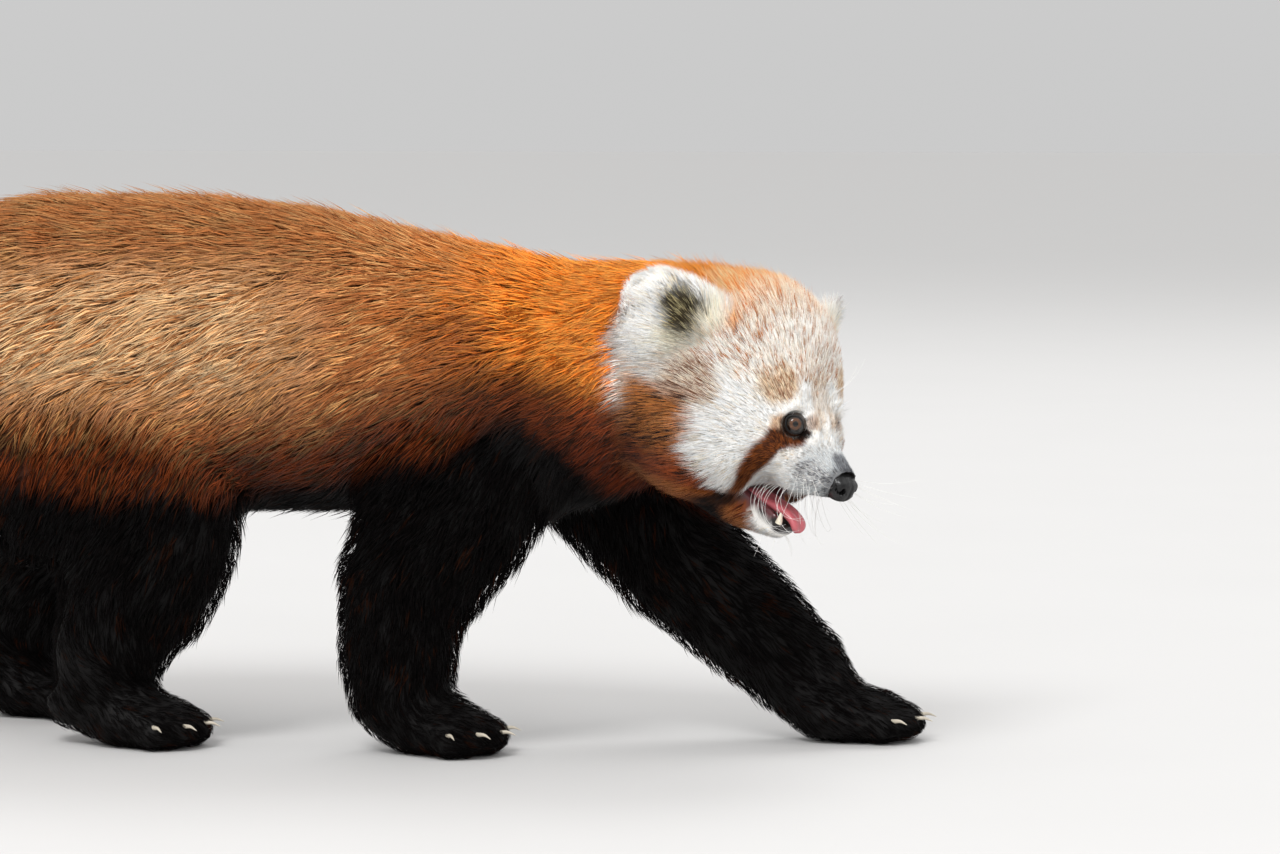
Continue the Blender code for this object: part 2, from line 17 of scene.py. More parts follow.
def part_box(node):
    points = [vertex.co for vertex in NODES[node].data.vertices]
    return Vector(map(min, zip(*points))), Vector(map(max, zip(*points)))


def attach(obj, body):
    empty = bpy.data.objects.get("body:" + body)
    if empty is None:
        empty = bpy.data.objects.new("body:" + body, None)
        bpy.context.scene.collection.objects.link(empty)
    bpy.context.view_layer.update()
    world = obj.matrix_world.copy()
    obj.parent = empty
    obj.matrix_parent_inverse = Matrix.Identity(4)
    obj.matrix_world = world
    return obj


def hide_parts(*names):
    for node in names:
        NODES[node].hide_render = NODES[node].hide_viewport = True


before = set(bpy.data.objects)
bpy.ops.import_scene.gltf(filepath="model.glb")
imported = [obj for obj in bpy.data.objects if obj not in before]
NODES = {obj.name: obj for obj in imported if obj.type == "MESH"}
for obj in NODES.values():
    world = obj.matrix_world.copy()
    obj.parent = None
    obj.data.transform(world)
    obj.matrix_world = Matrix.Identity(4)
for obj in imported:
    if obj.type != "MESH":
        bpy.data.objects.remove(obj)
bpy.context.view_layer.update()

bl_info = {
    "name": "Red Panda Looks",
    "version": (1, 0, 0),
    "blender": (4, 5, 0),
    "location": "View3D > Sidebar > Red Panda",
    "description": "Skin, coat, face and claws of a life-size walking red panda",
    "category": "Object",
}

MM = 0.001
SEED = 20

LEGS = ("fore_right", "fore_left", "hind_right", "hind_left")
TAIL = ("tail_1", "tail_2", "tail_3")
SIDES = {"right": 1, "left": -1}
LEG_NODES = {leg: [f"{leg}_{part}" for part in ("upper", "lower", "paw")] for leg in LEGS}
FLESH = ["head", "lower_jaw", "ear_right", "ear_left", "neck", "chest", "rump", *TAIL]
FLESH += [node for nodes in LEG_NODES.values() for node in nodes]


def box_middle(*nodes):
    """The middle of the box round some nodes."""
    corners = np.array([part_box(node) for node in nodes])
    return (corners[:, 0].min(axis=0) + corners[:, 1].max(axis=0)) / 2


# The head's axes: turned towards the camera's side, bowed and tilted, from its nose pad
HEAD_YAW, HEAD_PITCH, HEAD_ROLL = math.radians(-30), math.radians(16), math.radians(5)
NOSE_PAD_AT = (-2.8, 0.0, -2.4)


def head_axes():
    """The head's forward, right and up directions, as rows."""
    level = np.array([math.sin(HEAD_YAW), -math.cos(HEAD_YAW), 0.0])
    ahead = np.array([math.cos(HEAD_YAW), math.sin(HEAD_YAW), 0.0]) * math.cos(HEAD_PITCH)
    ahead[2] = -math.sin(HEAD_PITCH)
    upright = np.cross(level, ahead)
    right = level * math.cos(HEAD_ROLL) + upright * math.sin(HEAD_ROLL)
    return np.array([ahead, right, np.cross(right, ahead)])


HEAD_AXES = head_axes()
HEAD_AT = box_middle("nose") - np.array(NOSE_PAD_AT) @ HEAD_AXES * MM


def from_head(points):
    """Points in head axes, in millimetres, as places in the model."""
    return HEAD_AT + np.asarray(points, float) @ HEAD_AXES * MM


def to_head(places):
    """Places in the model as points in head axes, in millimetres."""
    return (places - HEAD_AT) @ HEAD_AXES.T / MM


# Sizes and places on the head, in its axes. One side's are the right one's
EYE_RADIUS, CORNEA_BULGE = 6.5, 0.5
# From the iris' middle, as shares of the eyeball's radius: where each begins and is full
PUPIL_EDGE, IRIS_RIM, IRIS_EDGE = (0.19, 0.25), (0.40, 0.54), (0.68, 0.74)
GAZE, LIDS_FACE = (0.68, 0.70, 0.22), (0.65, 0.73, 0.18)
# The lids' rim, in degrees from the middle of the opening: to the sides, above and below, and how much
# further it goes at the inner and the outer corner
LIDS_WIDE, LIDS_ABOVE, LIDS_BELOW, LIDS_INNER, LIDS_OUTER = 45, 39, 43, 8, 6
LIDS_THICK, LIDS_BROAD = 0.4, 0.6
# The skin lies behind the eyeball up to the first angle, and no hair grows up to the second
OPENED_TO, BARE_TO = 43, 50
# Each ear's base and tip, the direction that its hollow faces, and how far the hair low in it rises
EARS = {
    "right": {"base": (-86, 43, 38), "tip": (-115, 68, 77), "opening": (0.60, 0.78, -0.10), "fluff": 1.2},
    "left": {"base": (-80, -45, 36), "tip": (-96, -79, 67), "opening": (0.72, -0.68, 0.05), "fluff": 6.0},
}
# The patch is partly dark hair and partly painted shade in the hollow.
# The dark patch in an ear's hollow: towards the front edge from its middle line, and up from its base
EAR_PATCH_AT, EAR_PATCH_RADII = (9.5, 19.0), (11.5, 14.5)
TEAR_STRIPE = [
    (-25, 12, 14), (-28, 20, 13.5), (-31, 27, 11.5), (-32, 32, 3),
    (-36, 32, -6), (-41, 28, -14), (-45, 23, -22),
]
TEAR_STRIPE_WIDTHS = (2.6, 4.8, 6.4, 7.0, 7.0, 6.2, 5.0)
EAR_STRIPE = [(-68, 40, 62), (-76, 41, 71), (-86, 40, 78), (-96, 30, 82)]
EAR_STRIPE_WIDTHS = (4, 6, 7, 7)
# Sections of the open mouth and of the tongue, from the back: place ahead, height of the middle, half
# width and half depth
MOUTH = [(-55, -20, 17, 3), (-44, -22, 19, 6.5), (-28, -23, 18, 9.5), (-8, -26, 17, 13)]
TONGUE = [
    (-54, -23, 8, 2.6), (-42, -25, 7.6, 3.2), (-30, -26.6, 5.8, 3.2),
    (-23, -29.8, 5.4, 2.9), (-20.8, -34.6, 4.8, 2.4),
]
# How far the tongue's edges curl up, and the depth and half width of the groove along its middle
TONGUE_CURL, GROOVE_DEPTH, GROOVE_WIDTH = 0.9, 0.9, 1.6
# The lower canine from above, the reach round it in which the jaw is lowered to the lip, and its size
CANINE_AT, CANINE_REACH, CANINE_LENGTH, CANINE_RADIUS = (-28.6, 7.1), 3.4, 5.8, 1.8
# The heights between which the lower jaw's own node has its canines
LIP_TOP, CANINE_TOP = -31.2, -20
CLAW_RADIUS = 1.25
# The nose pad's half sizes, the power that squares its ball, and how far its top leans back
NOSE_RADII, NOSE_SQUARENESS, NOSE_SLOPE = (7.9, 8.6, 8.0), 0.82, 3.6
# How far round the nose pad's middle the muzzle ends
NOSE_COLLAR = 9.3
# A nostril's round opening and the slit that curls from it up the pad's side: middle, reach and depth,
# on a ball of radius 1 but for the depth
NOSTRIL = [
    ((0.80, 0.46, -0.16), 0.25, 3.8),
    ((0.68, 0.66, -0.26), 0.18, 3.0),
    ((0.54, 0.80, -0.24), 0.14, 2.4),
    ((0.42, 0.88, -0.10), 0.12, 1.8),
    ((0.34, 0.93, 0.06), 0.10, 1.2),
]

# Where the black of the belly and legs meets the back's rust on the flank: x and height in millimetres
FLANK_BORDER = [
    (-240, 150), (20, 137), (84, 133), (124, 140), (159, 151), (195, 161), (217, 172),
    (238, 176), (257, 165), (267, 149), (279, 137), (330, 118),
]

# The coat by the kind of flesh: depth, hair length and hair width in millimetres
COAT = {
    "head": (0.6, 2.6, 0.30),
    "jaw": (0.6, 2.6, 0.30),
    "ear": (2.0, 8.0, 0.46),
    "neck": (8.5, 21.0, 0.78),
    "chest": (9.5, 23.0, 0.82),
    "rump": (10.5, 25.0, 0.86),
    "tail": (13.0, 32.0, 0.98),
    "upper": (7.0, 17.0, 0.76),
    "lower": (4.5, 12.0, 0.66),
    "paw": (2.4, 8.0, 0.48),
}
# What the head's coat gains over its back half, on its cheeks and on its nape
HEAD_GAINS = [(1.2, 4.4, 0.12), (1.8, 6.5, 0.10), (3.0, 7.0, 0.22)]
# How far the tips of the head's hair rise, as a share of its coat's depth
HEAD_LOFT = 1.35
# The voxel skin's faces are halved within each of these reaches of the face's middle
FACE_MIDDLE, FINER_WITHIN = (-26, 0, 4), (43, 32)
# How long a dark and a pale ring of the tail are together
TAIL_RING = 58.0


def kind_of(node):
    """The kind of coat on a node: its name's part that COAT knows."""
    return next(kind for kind in COAT if kind in node)


def linear(red, green, blue):
    """A colour from its 0 to 255 screen values."""
    shares = np.array([red, green, blue]) / 255
    return tuple(np.where(shares <= 0.04045, shares / 12.92, ((shares + 0.055) / 1.055) ** 2.4))


def toned(tone, factor):
    """A colour made darker, or lighter up to full brightness."""
    return tuple(min(1.0, c * factor) for c in tone)


# Settings


def colour(name, description, *screen):
    """A colour setting, from its screen values."""
    return FloatVectorProperty(
        name=name, description=description, default=linear(*screen), subtype="COLOR", min=0, max=1
    )


def length(name, description, metres):
    """A length setting."""
    return FloatProperty(name=name, description=description, default=metres, unit="LENGTH", min=0)


def angle(name, description, degrees):
    """An angle setting."""
    return FloatProperty(name=name, description=description, default=math.radians(degrees), subtype="ANGLE")


class PandaCoatSettings(bpy.types.PropertyGroup):
    """Sizes and colours of the coat."""

    voxel: length("Skin grain", "Size of the skin mesh's faces", 0.0029)
    amount: FloatProperty(name="Amount", description="Share of all the tufts", default=1.0, min=0.01, max=1)
    hair: FloatProperty(
        name="Hair length", description="Factor on every hair's length", default=1.0, min=0.1
    )
    clump: FloatProperty(
        name="Clumping", description="How far tips gather into locks", default=0.42, min=0, max=1
    )
    brown: colour("Back", "Grizzled brown of the back", 164, 100, 53)
    blond: colour("Blond tips", "Pale hairs of the back", 216, 158, 98)
    orange: colour("Shoulder", "Orange of the shoulders and nape", 248, 134, 34)
    gold: colour("Golden tips", "Tips of the orange hair", 255, 178, 84)
    rust: colour("Rust", "Red-brown of the neck and tear marks", 130, 56, 24)
    dark: colour("Dark brown", "Darkest hairs of the brown parts", 62, 32, 17)
    black: colour("Black", "Legs and belly", 7, 5, 5)
    cream: colour("Cream", "Forehead and ear bases", 253, 240, 222)
    white: colour("White", "Cheeks, muzzle and ears", 250, 248, 244)


class PandaFaceSettings(bpy.types.PropertyGroup):
    """Colours and sizes of the face and claws."""

    iris: colour("Iris", "Colour of the iris", 92, 57, 33)
    nose: colour("Nose", "Wet skin of the nose and lids", 13, 12, 13)
    tongue: colour("Tongue", "Tongue and gums", 196, 96, 104)
    whisker: length("Whisker radius", "Radius of a whisker at its root", 0.00012)
    claw: colour("Claw", "Pale horn of the claws", 200, 190, 172)


class PandaStageSettings(bpy.types.PropertyGroup):
    """The camera, the floor and the lights."""

    distance: length("Camera distance", "From the camera to the point it looks at", 2.4)
    turn: angle("Camera turn", "Turn round the animal", 12)
    rise: angle("Camera rise", "Angle above level", 4)
    lens: FloatProperty(name="Lens", description="Focal length in millimetres", default=129.8, min=1)
    floor: colour("Floor", "Pale floor", 200, 199, 198)
    horizon: FloatProperty(name="Horizon", description="Brightness of the sky at its lowest", default=0.595)


# Numbers


def ramp(value, low, high):
    """0 at low and 1 at high, smooth between. low may be the greater of the two."""
    share = np.clip((value - low) / (high - low), 0, 1)
    return share * share * (3 - 2 * share)


def unit(rows):
    """Rows made one long."""
    return rows / np.maximum(np.linalg.norm(rows, axis=-1, keepdims=True), 1e-9)


def blob(points, middle, radii):
    """1 inside an ellipsoid and 0 outside it, soft over its outer third."""
    away = np.linalg.norm((points - np.array(middle)) / np.array(radii), axis=1)
    return ramp(away, 1.15, 0.7)


def oval(across, up, middle, radii):
    """How far each place is from an oval's middle: 1 is at its rim."""
    return np.hypot((across - middle[0]) / radii[0], (up - middle[1]) / radii[1])


def folded(local):
    """Places in head axes with the left side laid onto the right one."""
    ahead, aside, up = local.T
    return np.column_stack([ahead, np.abs(aside), up])


def stripe(points, path, widths, soft=1.6):
    """1 along a path with a half width at each of its points, 0 away from it."""
    best = np.zeros(len(points))
    path = np.array(path, float)
    for start, end, wide, next_wide in zip(path, path[1:], widths, widths[1:]):
        run = end - start
        share = np.clip((points - start) @ run / (run @ run), 0, 1)
        away = np.linalg.norm(points - start - share[:, None] * run, axis=1)
        reach = wide + (next_wide - wide) * share
        best = np.maximum(best, ramp(away, reach + soft, reach - soft))
    return best


def waves(places, size, seed):
    """Smooth noise from -1 to 1 over places, with features of about the given size."""
    rng = np.random.default_rng(seed)
    total = np.zeros(len(places))
    for _ in range(6):
        direction = unit(rng.normal(size=(1, 3)))[0]
        total += np.sin(places @ direction * rng.uniform(4, 8) / size + rng.uniform(0, 7))
    return total / 3.2


def smoothed(values, edges, times, strength=0.5):
    """Each vertex's row of values drawn towards its neighbours', several times over."""
    first, second = edges.T
    size = len(values)
    count = np.maximum(np.bincount(edges.ravel(), minlength=size), 1)
    for _ in range(times):
        total = [
            np.bincount(first, column[second], size) + np.bincount(second, column[first], size)
            for column in values.T
        ]
        values = values + strength * (np.stack(total, axis=1) / count[:, None] - values)
    return values


def spline(rows, samples):
    """Rows spread along a smooth curve through the given rows."""
    rows = np.array(rows, float)
    ends = np.vstack([2 * rows[0] - rows[1], rows, 2 * rows[-1] - rows[-2]])
    found = []
    for before, start, end, after in zip(ends, ends[1:], ends[2:], ends[3:]):
        for share in np.arange(samples) / samples:
            bend = 2 * before - 5 * start + 4 * end - after
            twist = 3 * start - before - 3 * end + after
            found.append(0.5 * (2 * start + (end - before) * share + bend * share**2 + twist * share**3))
    return np.array(found + [rows[-1]])


# Meshes and pieces


def read(items, field, width=3, kind=float):
    """One field of a mesh's items, as an array with a row for each item."""
    values = np.empty(len(items) * width, kind)
    items.foreach_get(field, values)
    return values.reshape(-1, width)


def mesh_of(name, places, triangles):
    """A smooth mesh of triangles, from arrays."""
    mesh = bpy.data.meshes.new(name)
    mesh.vertices.add(len(places))
    mesh.vertices.foreach_set("co", np.ascontiguousarray(places, np.float32).ravel())
    mesh.loops.add(triangles.size)
    mesh.loops.foreach_set("vertex_index", np.ascontiguousarray(triangles, np.int32).ravel())
    mesh.polygons.add(len(triangles))
    mesh.polygons.foreach_set("loop_start", np.arange(0, triangles.size, 3, dtype=np.int32))
    mesh.update(calc_edges=True)
    mesh.shade_smooth()
    return mesh


def paint(mesh, name, colours):
    """Colours of the mesh's vertices, kept under a name."""
    layer = mesh.color_attributes.new(name, "FLOAT_COLOR", "POINT")
    rows = np.column_stack([colours, np.ones(len(colours))])
    layer.data.foreach_set("color", rows.astype(np.float32).ravel())


def put_in_scene(name, data):
    """A new object with the given data."""
    obj = bpy.data.objects.new(name, data)
    bpy.context.scene.collection.objects.link(obj)
    return obj


def new_piece(name, mesh, material, slot, *replaced):
    """Makes a finished piece that rides on the frame and stands for some of its nodes."""
    mesh.materials.clear()
    mesh.materials.append(material)
    obj = put_in_scene(name, mesh)
    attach(obj, "root")
    if replaced:
        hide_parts(*replaced)


def applied(obj):
    """What an object's modifiers make of its mesh, as a plain mesh. The object itself goes."""
    mesh = obj.data
    made = bpy.data.meshes.new_from_object(obj.evaluated_get(bpy.context.evaluated_depsgraph_get()))
    bpy.data.objects.remove(obj)
    bpy.data.meshes.remove(mesh)
    return made


def surface(rows):
    """Vertices and triangles of a closed skin over rings of places: each row a ring, the ends closed."""
    rings, around = rows.shape[:2]
    places = np.vstack([rows.reshape(-1, 3), rows[0].mean(axis=0), rows[-1].mean(axis=0)])
    faces = []
    first_pole, last_pole = rings * around, rings * around + 1
    for i in range(around):
        j = (i + 1) % around
        faces.append((first_pole, j, i))
        last = (rings - 1) * around
        faces.append((last_pole, last + i, last + j))
        for ring in range(rings - 1):
            low, high = ring * around, (ring + 1) * around
            faces.append((low + i, low + j, high + j))
            faces.append((low + i, high + j, high + i))
    return places, np.array(faces)


def outwards(mesh):
    """Turns the faces of a closed mesh outwards."""
    bm = bmesh.new()
    bm.from_mesh(mesh)
    bmesh.ops.recalc_face_normals(bm, faces=bm.faces)
    bm.to_mesh(mesh)
    bm.free()
    return mesh


# Material nodes


def add_node(tree, kind, inputs=None, **settings):
    """Adds a node and gives its outputs. inputs fills its sockets with links or constants."""
    node = tree.nodes.new(kind)
    for key, setting in settings.items():
        setattr(node, key, setting)
    for key, value in (inputs or {}).items():
        if isinstance(value, bpy.types.NodeSocket):
            tree.links.new(value, node.inputs[key])
        else:
            node.inputs[key].default_value = value
    return node.outputs


class Value:
    """An output in a node tree, so that its maths reads as plain expressions."""

    def __init__(self, graph, socket):
        self.graph, self.socket = graph, socket

    def maths(self, operation, *values):
        return self.graph.node("ShaderNodeMath", {"operation": operation}, *values)

    def __add__(self, other):
        return self.maths("ADD", self, other)

    def __radd__(self, other):
        return self.maths("ADD", other, self)

    def __sub__(self, other):
        return self.maths("SUBTRACT", self, other)

    def __rsub__(self, other):
        return self.maths("SUBTRACT", other, self)

    def __mul__(self, other):
        return self.maths("MULTIPLY", self, other)

    def __rmul__(self, other):
        return self.maths("MULTIPLY", other, self)

    def ramp(self, low, high):
        """0 at low and 1 at high, smooth between."""
        settings = {"interpolation_type": "SMOOTHSTEP"}
        return self.graph.node("ShaderNodeMapRange", settings, self, low, high, 0.0, 1.0)


class Graph:
    """A material's node tree, round its Principled shader."""

    def __init__(self, name, **constants):
        self.material = bpy.data.materials.new(name)
        self.material.use_nodes = True
        self.tree = self.material.node_tree
        self.shader = self.tree.nodes["Principled BSDF"]
        for key, constant in constants.items():
            self.shader.inputs[key.replace("_", " ").title().replace("Ior", "IOR")].default_value = constant

    def fill(self, socket, value):
        """Links a Value to a socket, or sets the socket to a colour or a number."""
        if isinstance(value, Value):
            self.tree.links.new(value.socket, socket)
        else:
            socket.default_value = (*value, 1.0) if isinstance(value, tuple) else value

    def node(self, kind, settings, *values, out=None, **named):
        """Adds a node and gives its first output, or the one named. values fill its first shown inputs."""
        node = self.tree.nodes.new(kind)
        for key, setting in settings.items():
            setattr(node, key, setting)
        shown = [socket for socket in node.inputs if socket.enabled]
        for socket, value in zip(shown, values):
            self.fill(socket, value)
        for key, value in named.items():
            self.fill(next(socket for socket in shown if socket.name == key), value)
        outputs = [socket for socket in node.outputs if socket.enabled]
        return Value(self, next(socket for socket in outputs if out in (None, socket.name)))

    def places(self):
        """The places on the piece."""
        return self.node("ShaderNodeTexCoord", {}, out="Object")

    def attribute(self, name, out="Color"):
        """A layer that the mesh keeps under a name."""
        return self.node("ShaderNodeAttribute", {"attribute_name": name}, out=out)

    def split(self, vector):
        """The three parts of a vector."""
        node = self.node("ShaderNodeSeparateXYZ", {}, vector).socket.node
        return [Value(self, socket) for socket in node.outputs]

    def noise(self, scale, detail=3.0, vector=None):
        return self.node(
            "ShaderNodeTexNoise", {}, Vector=vector or self.places(), Scale=scale, Detail=detail
        )

    def cells(self, scale):
        return self.node("ShaderNodeTexVoronoi", {"feature": "F1"}, Vector=self.places(), Scale=scale)

    def mix(self, share, first, second, blend="MIX"):
        settings = {"data_type": "RGBA", "blend_type": blend}
        return self.node("ShaderNodeMix", settings, share, first, second)

    def bump(self, height, distance, strength):
        return self.node("ShaderNodeBump", {}, Strength=strength, Distance=distance, Height=height)

    def out(self, **links):
        """Links shader inputs, such as Base_Color=..., and gives the material."""
        for key, value in links.items():
            self.fill(self.shader.inputs[key.replace("_", " ")], value)
        return self.material


def coat_material(name, roughness, gloss, sheen):
    """Hair: its painted colours, broken up finely, a little duller where the noise is high."""
    graph = Graph(name, specular_ior_level=gloss, sheen_weight=sheen, sheen_roughness=0.4)
    fine = graph.noise(420.0)
    shade = graph.mix(0.5, graph.attribute("Coat"), fine * 0.5 + 0.75, "MULTIPLY")
    return graph.out(Base_Color=shade, Roughness=roughness + 0.15 * fine)


def skin_material():
    """Skin under the coat with painted shade, short hairs as bump, and bare wet skin in the mouth."""
    graph = Graph("skin_and_underfur", specular_ior_level=0.3)
    bare = graph.attribute("Bare", out="Fac")
    fur = graph.noise(900.0, 4.0)
    wet = graph.noise(350.0, 2.0)
    coarse = graph.noise(160.0, 2.0)
    shade = graph.mix(0.45, graph.attribute("Coat"), fur * 0.6 + coarse * 0.4 + 0.5, "MULTIPLY")
    height = fur * (1.0 - bare) + wet * bare * 0.4
    return graph.out(
        Base_Color=shade,
        Roughness=0.75 - 0.45 * bare,
        Coat_Weight=0.5 * bare,
        Normal=graph.bump(height, 0.0006, 0.7),
    )


def nose_material(name, tone, wet):
    """Black pebbled skin, wet in patches."""
    graph = Graph(name, specular_ior_level=0.3, coat_roughness=0.12)
    pebbles = graph.cells(1300.0)
    damp = graph.noise(260.0, 2.0)
    shade = graph.mix(damp, tuple(tone), toned(tone, 0.5))
    return graph.out(
        Base_Color=shade,
        Roughness=0.28 + 0.3 * damp,
        Coat_Weight=damp.ramp(0.35, 0.6) * wet,
        Normal=graph.bump(pebbles, 0.0003, 0.55),
    )


def eye_material(tone):
    """Round dark pupil, fibrous brown iris with a black rim, dark white of the eye, all wet."""
    graph = Graph(
        "wet_brown_eye", roughness=0.2, specular_ior_level=0.05, coat_weight=1.0, coat_roughness=0.04
    )
    place = graph.attribute("Iris", out="Vector")
    side, rise, _ = graph.split(place)
    reach = graph.node("ShaderNodeVectorMath", {"operation": "LENGTH"}, place)
    turn = side.maths("ARCTAN2", side, rise)
    streaks = graph.node("ShaderNodeCombineXYZ", {}, turn * 5.0, reach * 1.2, 0.0)
    fibres = graph.noise(3.0, 4.0, streaks)
    iris = graph.mix(fibres.ramp(0.3, 0.7), toned(tone, 0.3), toned(tone, 1.1))
    inner = graph.mix(reach.ramp(*PUPIL_EDGE), (0.001, 0.001, 0.001), iris)
    rimmed = graph.mix(reach.ramp(*IRIS_RIM), inner, (0.005, 0.0035, 0.003))
    ball = graph.mix(reach.ramp(*IRIS_EDGE), rimmed, (0.02, 0.012, 0.009))
    return graph.out(Base_Color=ball)


def tongue_material(tone):
    """Pink tongue, darker in patches, with fine rough grains."""
    graph = Graph("wet_tongue", coat_roughness=0.2, subsurface_weight=0.1, subsurface_scale=0.003)
    grain = graph.cells(1500.0)
    patches = graph.noise(160.0)
    shade = graph.mix(patches, toned(tone, 0.75), tuple(tone))
    return graph.out(
        Base_Color=shade,
        Roughness=0.35 + 0.2 * patches,
        Coat_Weight=0.4,
        Normal=graph.bump(grain, 0.0002, 0.5),
    )


def horn_material(name, tone):
    """Claws and teeth: pale, streaked, darker in patches."""
    graph = Graph(name, coat_roughness=0.25)
    streaks = graph.noise(500.0, 3.0)
    shade = graph.mix(streaks, toned(tone, 0.62), tuple(tone))
    return graph.out(
        Base_Color=shade,
        Roughness=0.3 + 0.2 * streaks,
        Coat_Weight=0.3,
        Normal=graph.bump(streaks, 0.0001, 0.4),
    )


def whisker_material():
    """Whiskers: nearly white, glossy hair."""
    graph = Graph("white_whisker", specular_ior_level=0.5)
    bands = graph.noise(120.0, 2.0)
    shade = graph.mix(bands, linear(214, 210, 204), linear(250, 250, 248))
    return graph.out(Base_Color=shade, Roughness=0.3 + 0.1 * bands)


def floor_material(tone):
    """Plain pale floor, very finely mottled."""
    graph = Graph("pale_floor")
    mottle = graph.noise(6.0, 2.0)
    shade = graph.mix(mottle, toned(tone, 0.97), tuple(tone))
    return graph.out(Base_Color=shade, Roughness=0.75 + 0.1 * mottle)


# The skin


def ear_frame(side):
    """An ear's base, and its axes: out of the hollow, towards the front edge, and to the tip."""
    ear = EARS[side]
    base, tip = from_head(ear["base"]), from_head(ear["tip"])
    along = unit(tip - base)
    opening = np.array(ear["opening"]) @ HEAD_AXES
    opening = unit(opening - along * (opening @ along))
    across = np.cross(along, opening)
    if across @ HEAD_AXES[0] < 0:
        across = -across
    return base, np.array([opening, across, along])


def in_ear(places, side):
    """Places in an ear's own axes, from its base, in millimetres."""
    base, axes = ear_frame(side)
    return (places - base) @ axes.T / MM


class Skin:
    """The one skin: its mesh and, for every vertex, where the coat's surface and its marks are."""

    made = None

    def __init__(self, voxel):
        self.mesh = refined(fused_flesh(voxel))
        self.mesh.calc_loop_triangles()
        self.edges = read(self.mesh.edges, "vertices", 2, np.int32)
        self.triangles = read(self.mesh.loop_triangles, "vertices", 3, np.int32)
        self.outer = read(self.mesh.vertices, "co")
        self.local = to_head(self.outer)
        self.nearest = self.nearest_nodes()
        self.kinds = np.array([kind_of(FLESH[i]) for i in self.nearest])
        self.normals = unit(smoothed(read(self.mesh.vertex_normals, "vector"), self.edges, 6))
        self.depth, self.span, self.width, self.loft = self.coat_sizes()
        self.inner = sculpted(self)
        self.mesh.vertices.foreach_set("co", self.inner.astype(np.float32).ravel())
        self.mesh.update()
        self.normals = unit(smoothed(read(self.mesh.vertex_normals, "vector"), self.edges, 3))
        self.bare = bare_skin(self)
        self.lie = lie_of_hair(self)
        self.marks = marks_of(self)
        self.tree = BVHTree.FromPolygons(self.inner.tolist(), self.triangles.tolist())

    def share(self, *kinds, times=6):
        """How much of each vertex's neighbourhood is of the given kinds."""
        return self.spread(np.isin(self.kinds, kinds), times)

    def spread(self, chosen, times):
        """How much of each vertex's neighbourhood is chosen."""
        return smoothed(chosen.astype(float)[:, None], self.edges, times)[:, 0]

    def on(self, node):
        """Which vertices lie on a node."""
        return self.nearest == FLESH.index(node)

    def nearest_nodes(self):
        """For each vertex, the index in FLESH of the node it lies on."""
        places, faces, owners = [], [], []
        for index, name in enumerate(FLESH):
            mesh = NODES[name].data
            start = len(places)
            places += [vertex.co[:] for vertex in mesh.vertices]
            faces += [[start + i for i in polygon.vertices] for polygon in mesh.polygons]
            owners += [index] * len(mesh.polygons)
        tree = BVHTree.FromPolygons(places, faces)
        return np.array([owners[tree.find_nearest(place)[2]] for place in self.outer.tolist()])

    def coat_sizes(self):
        """The coat's depth, hair length, hair width and how far tips rise, in metres, at each vertex."""
        table = np.array([COAT[kind] for kind in self.kinds])
        ahead, aside, up = self.local.T
        head = np.isin(self.kinds, ("head", "jaw"))
        back = ramp(ahead, -14, -48)
        cheek = ramp(np.abs(aside), 32, 54) * ramp(up, 36, 8) * ramp(ahead, -38, -62)
        nape = ramp(ahead, -62, -100)
        for where, gains in zip((back, cheek, nape), HEAD_GAINS):
            table[head] += (where[:, None] * np.array(gains))[head]
        table = np.column_stack([table, table[:, 0]])
        table[head, 3] *= HEAD_LOFT
        for where, longer, higher in (
            (self.far_brow(), 3.0, 6.5),
            (head * ramp(ahead, -46, -72) * ramp(up, 44, 60), 2.5, 4.0),
        ):
            table[:, 1] += longer * where
            table[:, 3] += higher * where
        for side in SIDES:
            self.fluff_ear(table, side)
        return smoothed(table, self.edges, 10).T * MM

    def far_brow(self):
        """Where hair beside the left eye stands up in front of it, as the camera sees it."""
        return blob(self.local, (-25, -12, 18), (9, 6, 15))

    def fluff_ear(self, table, side):
        """Longer hair round an ear's front, longest at its lower rear edge, where it hangs."""
        ear = self.on(f"ear_{side}")
        _, axes = ear_frame(side)
        _, front, rise = in_ear(self.outer, side).T
        facing = ramp(self.normals @ axes[0], -0.3, 0.3)
        rim = np.maximum(ramp(np.abs(front), 12, 24), ramp(rise, 30, 44))
        hanging = ramp(front, -4, -24) * ramp(rise, 22, 2)
        outside = oval(front, rise, EAR_PATCH_AT, EAR_PATCH_RADII)
        low = facing * ramp(rise, 46, 16) * ramp(outside, 0.9, 1.4)
        table[ear, 1] += (4.0 * rim * facing + 17.0 * hanging + 4.0 * low)[ear]
        table[ear, 3] += (3.6 * rim * facing + 1.5 * hanging + EARS[side]["fluff"] * low)[ear]


def fused_flesh(voxel):
    """The flesh nodes, grown over the thin cuts between them and fused into one mesh."""
    overlap = 0.45 * MM
    bm = bmesh.new()
    for name in FLESH:
        bm.from_mesh(NODES[name].data)
    bmesh.ops.remove_doubles(bm, verts=bm.verts, dist=1e-6)
    bm.normal_update()
    for vertex in bm.verts:
        vertex.co += vertex.normal * overlap
    lower_canines(bm)
    mesh = bpy.data.meshes.new("skin")
    bm.to_mesh(mesh)
    bm.free()
    obj = put_in_scene("working", mesh)
    remesh = obj.modifiers.new("Fuse", "REMESH")
    remesh.mode, remesh.voxel_size, remesh.use_smooth_shade = "VOXEL", voxel, True
    return applied(obj)


def lower_canines(bm):
    """Lowers the jaw's canines to its lip, because the teeth are a piece of their own."""
    for vertex in bm.verts:
        ahead, aside, up = to_head(np.array(vertex.co))
        if math.dist((ahead, abs(aside)), CANINE_AT) < CANINE_REACH and LIP_TOP < up < CANINE_TOP:
            vertex.co = from_head((ahead, aside, LIP_TOP))


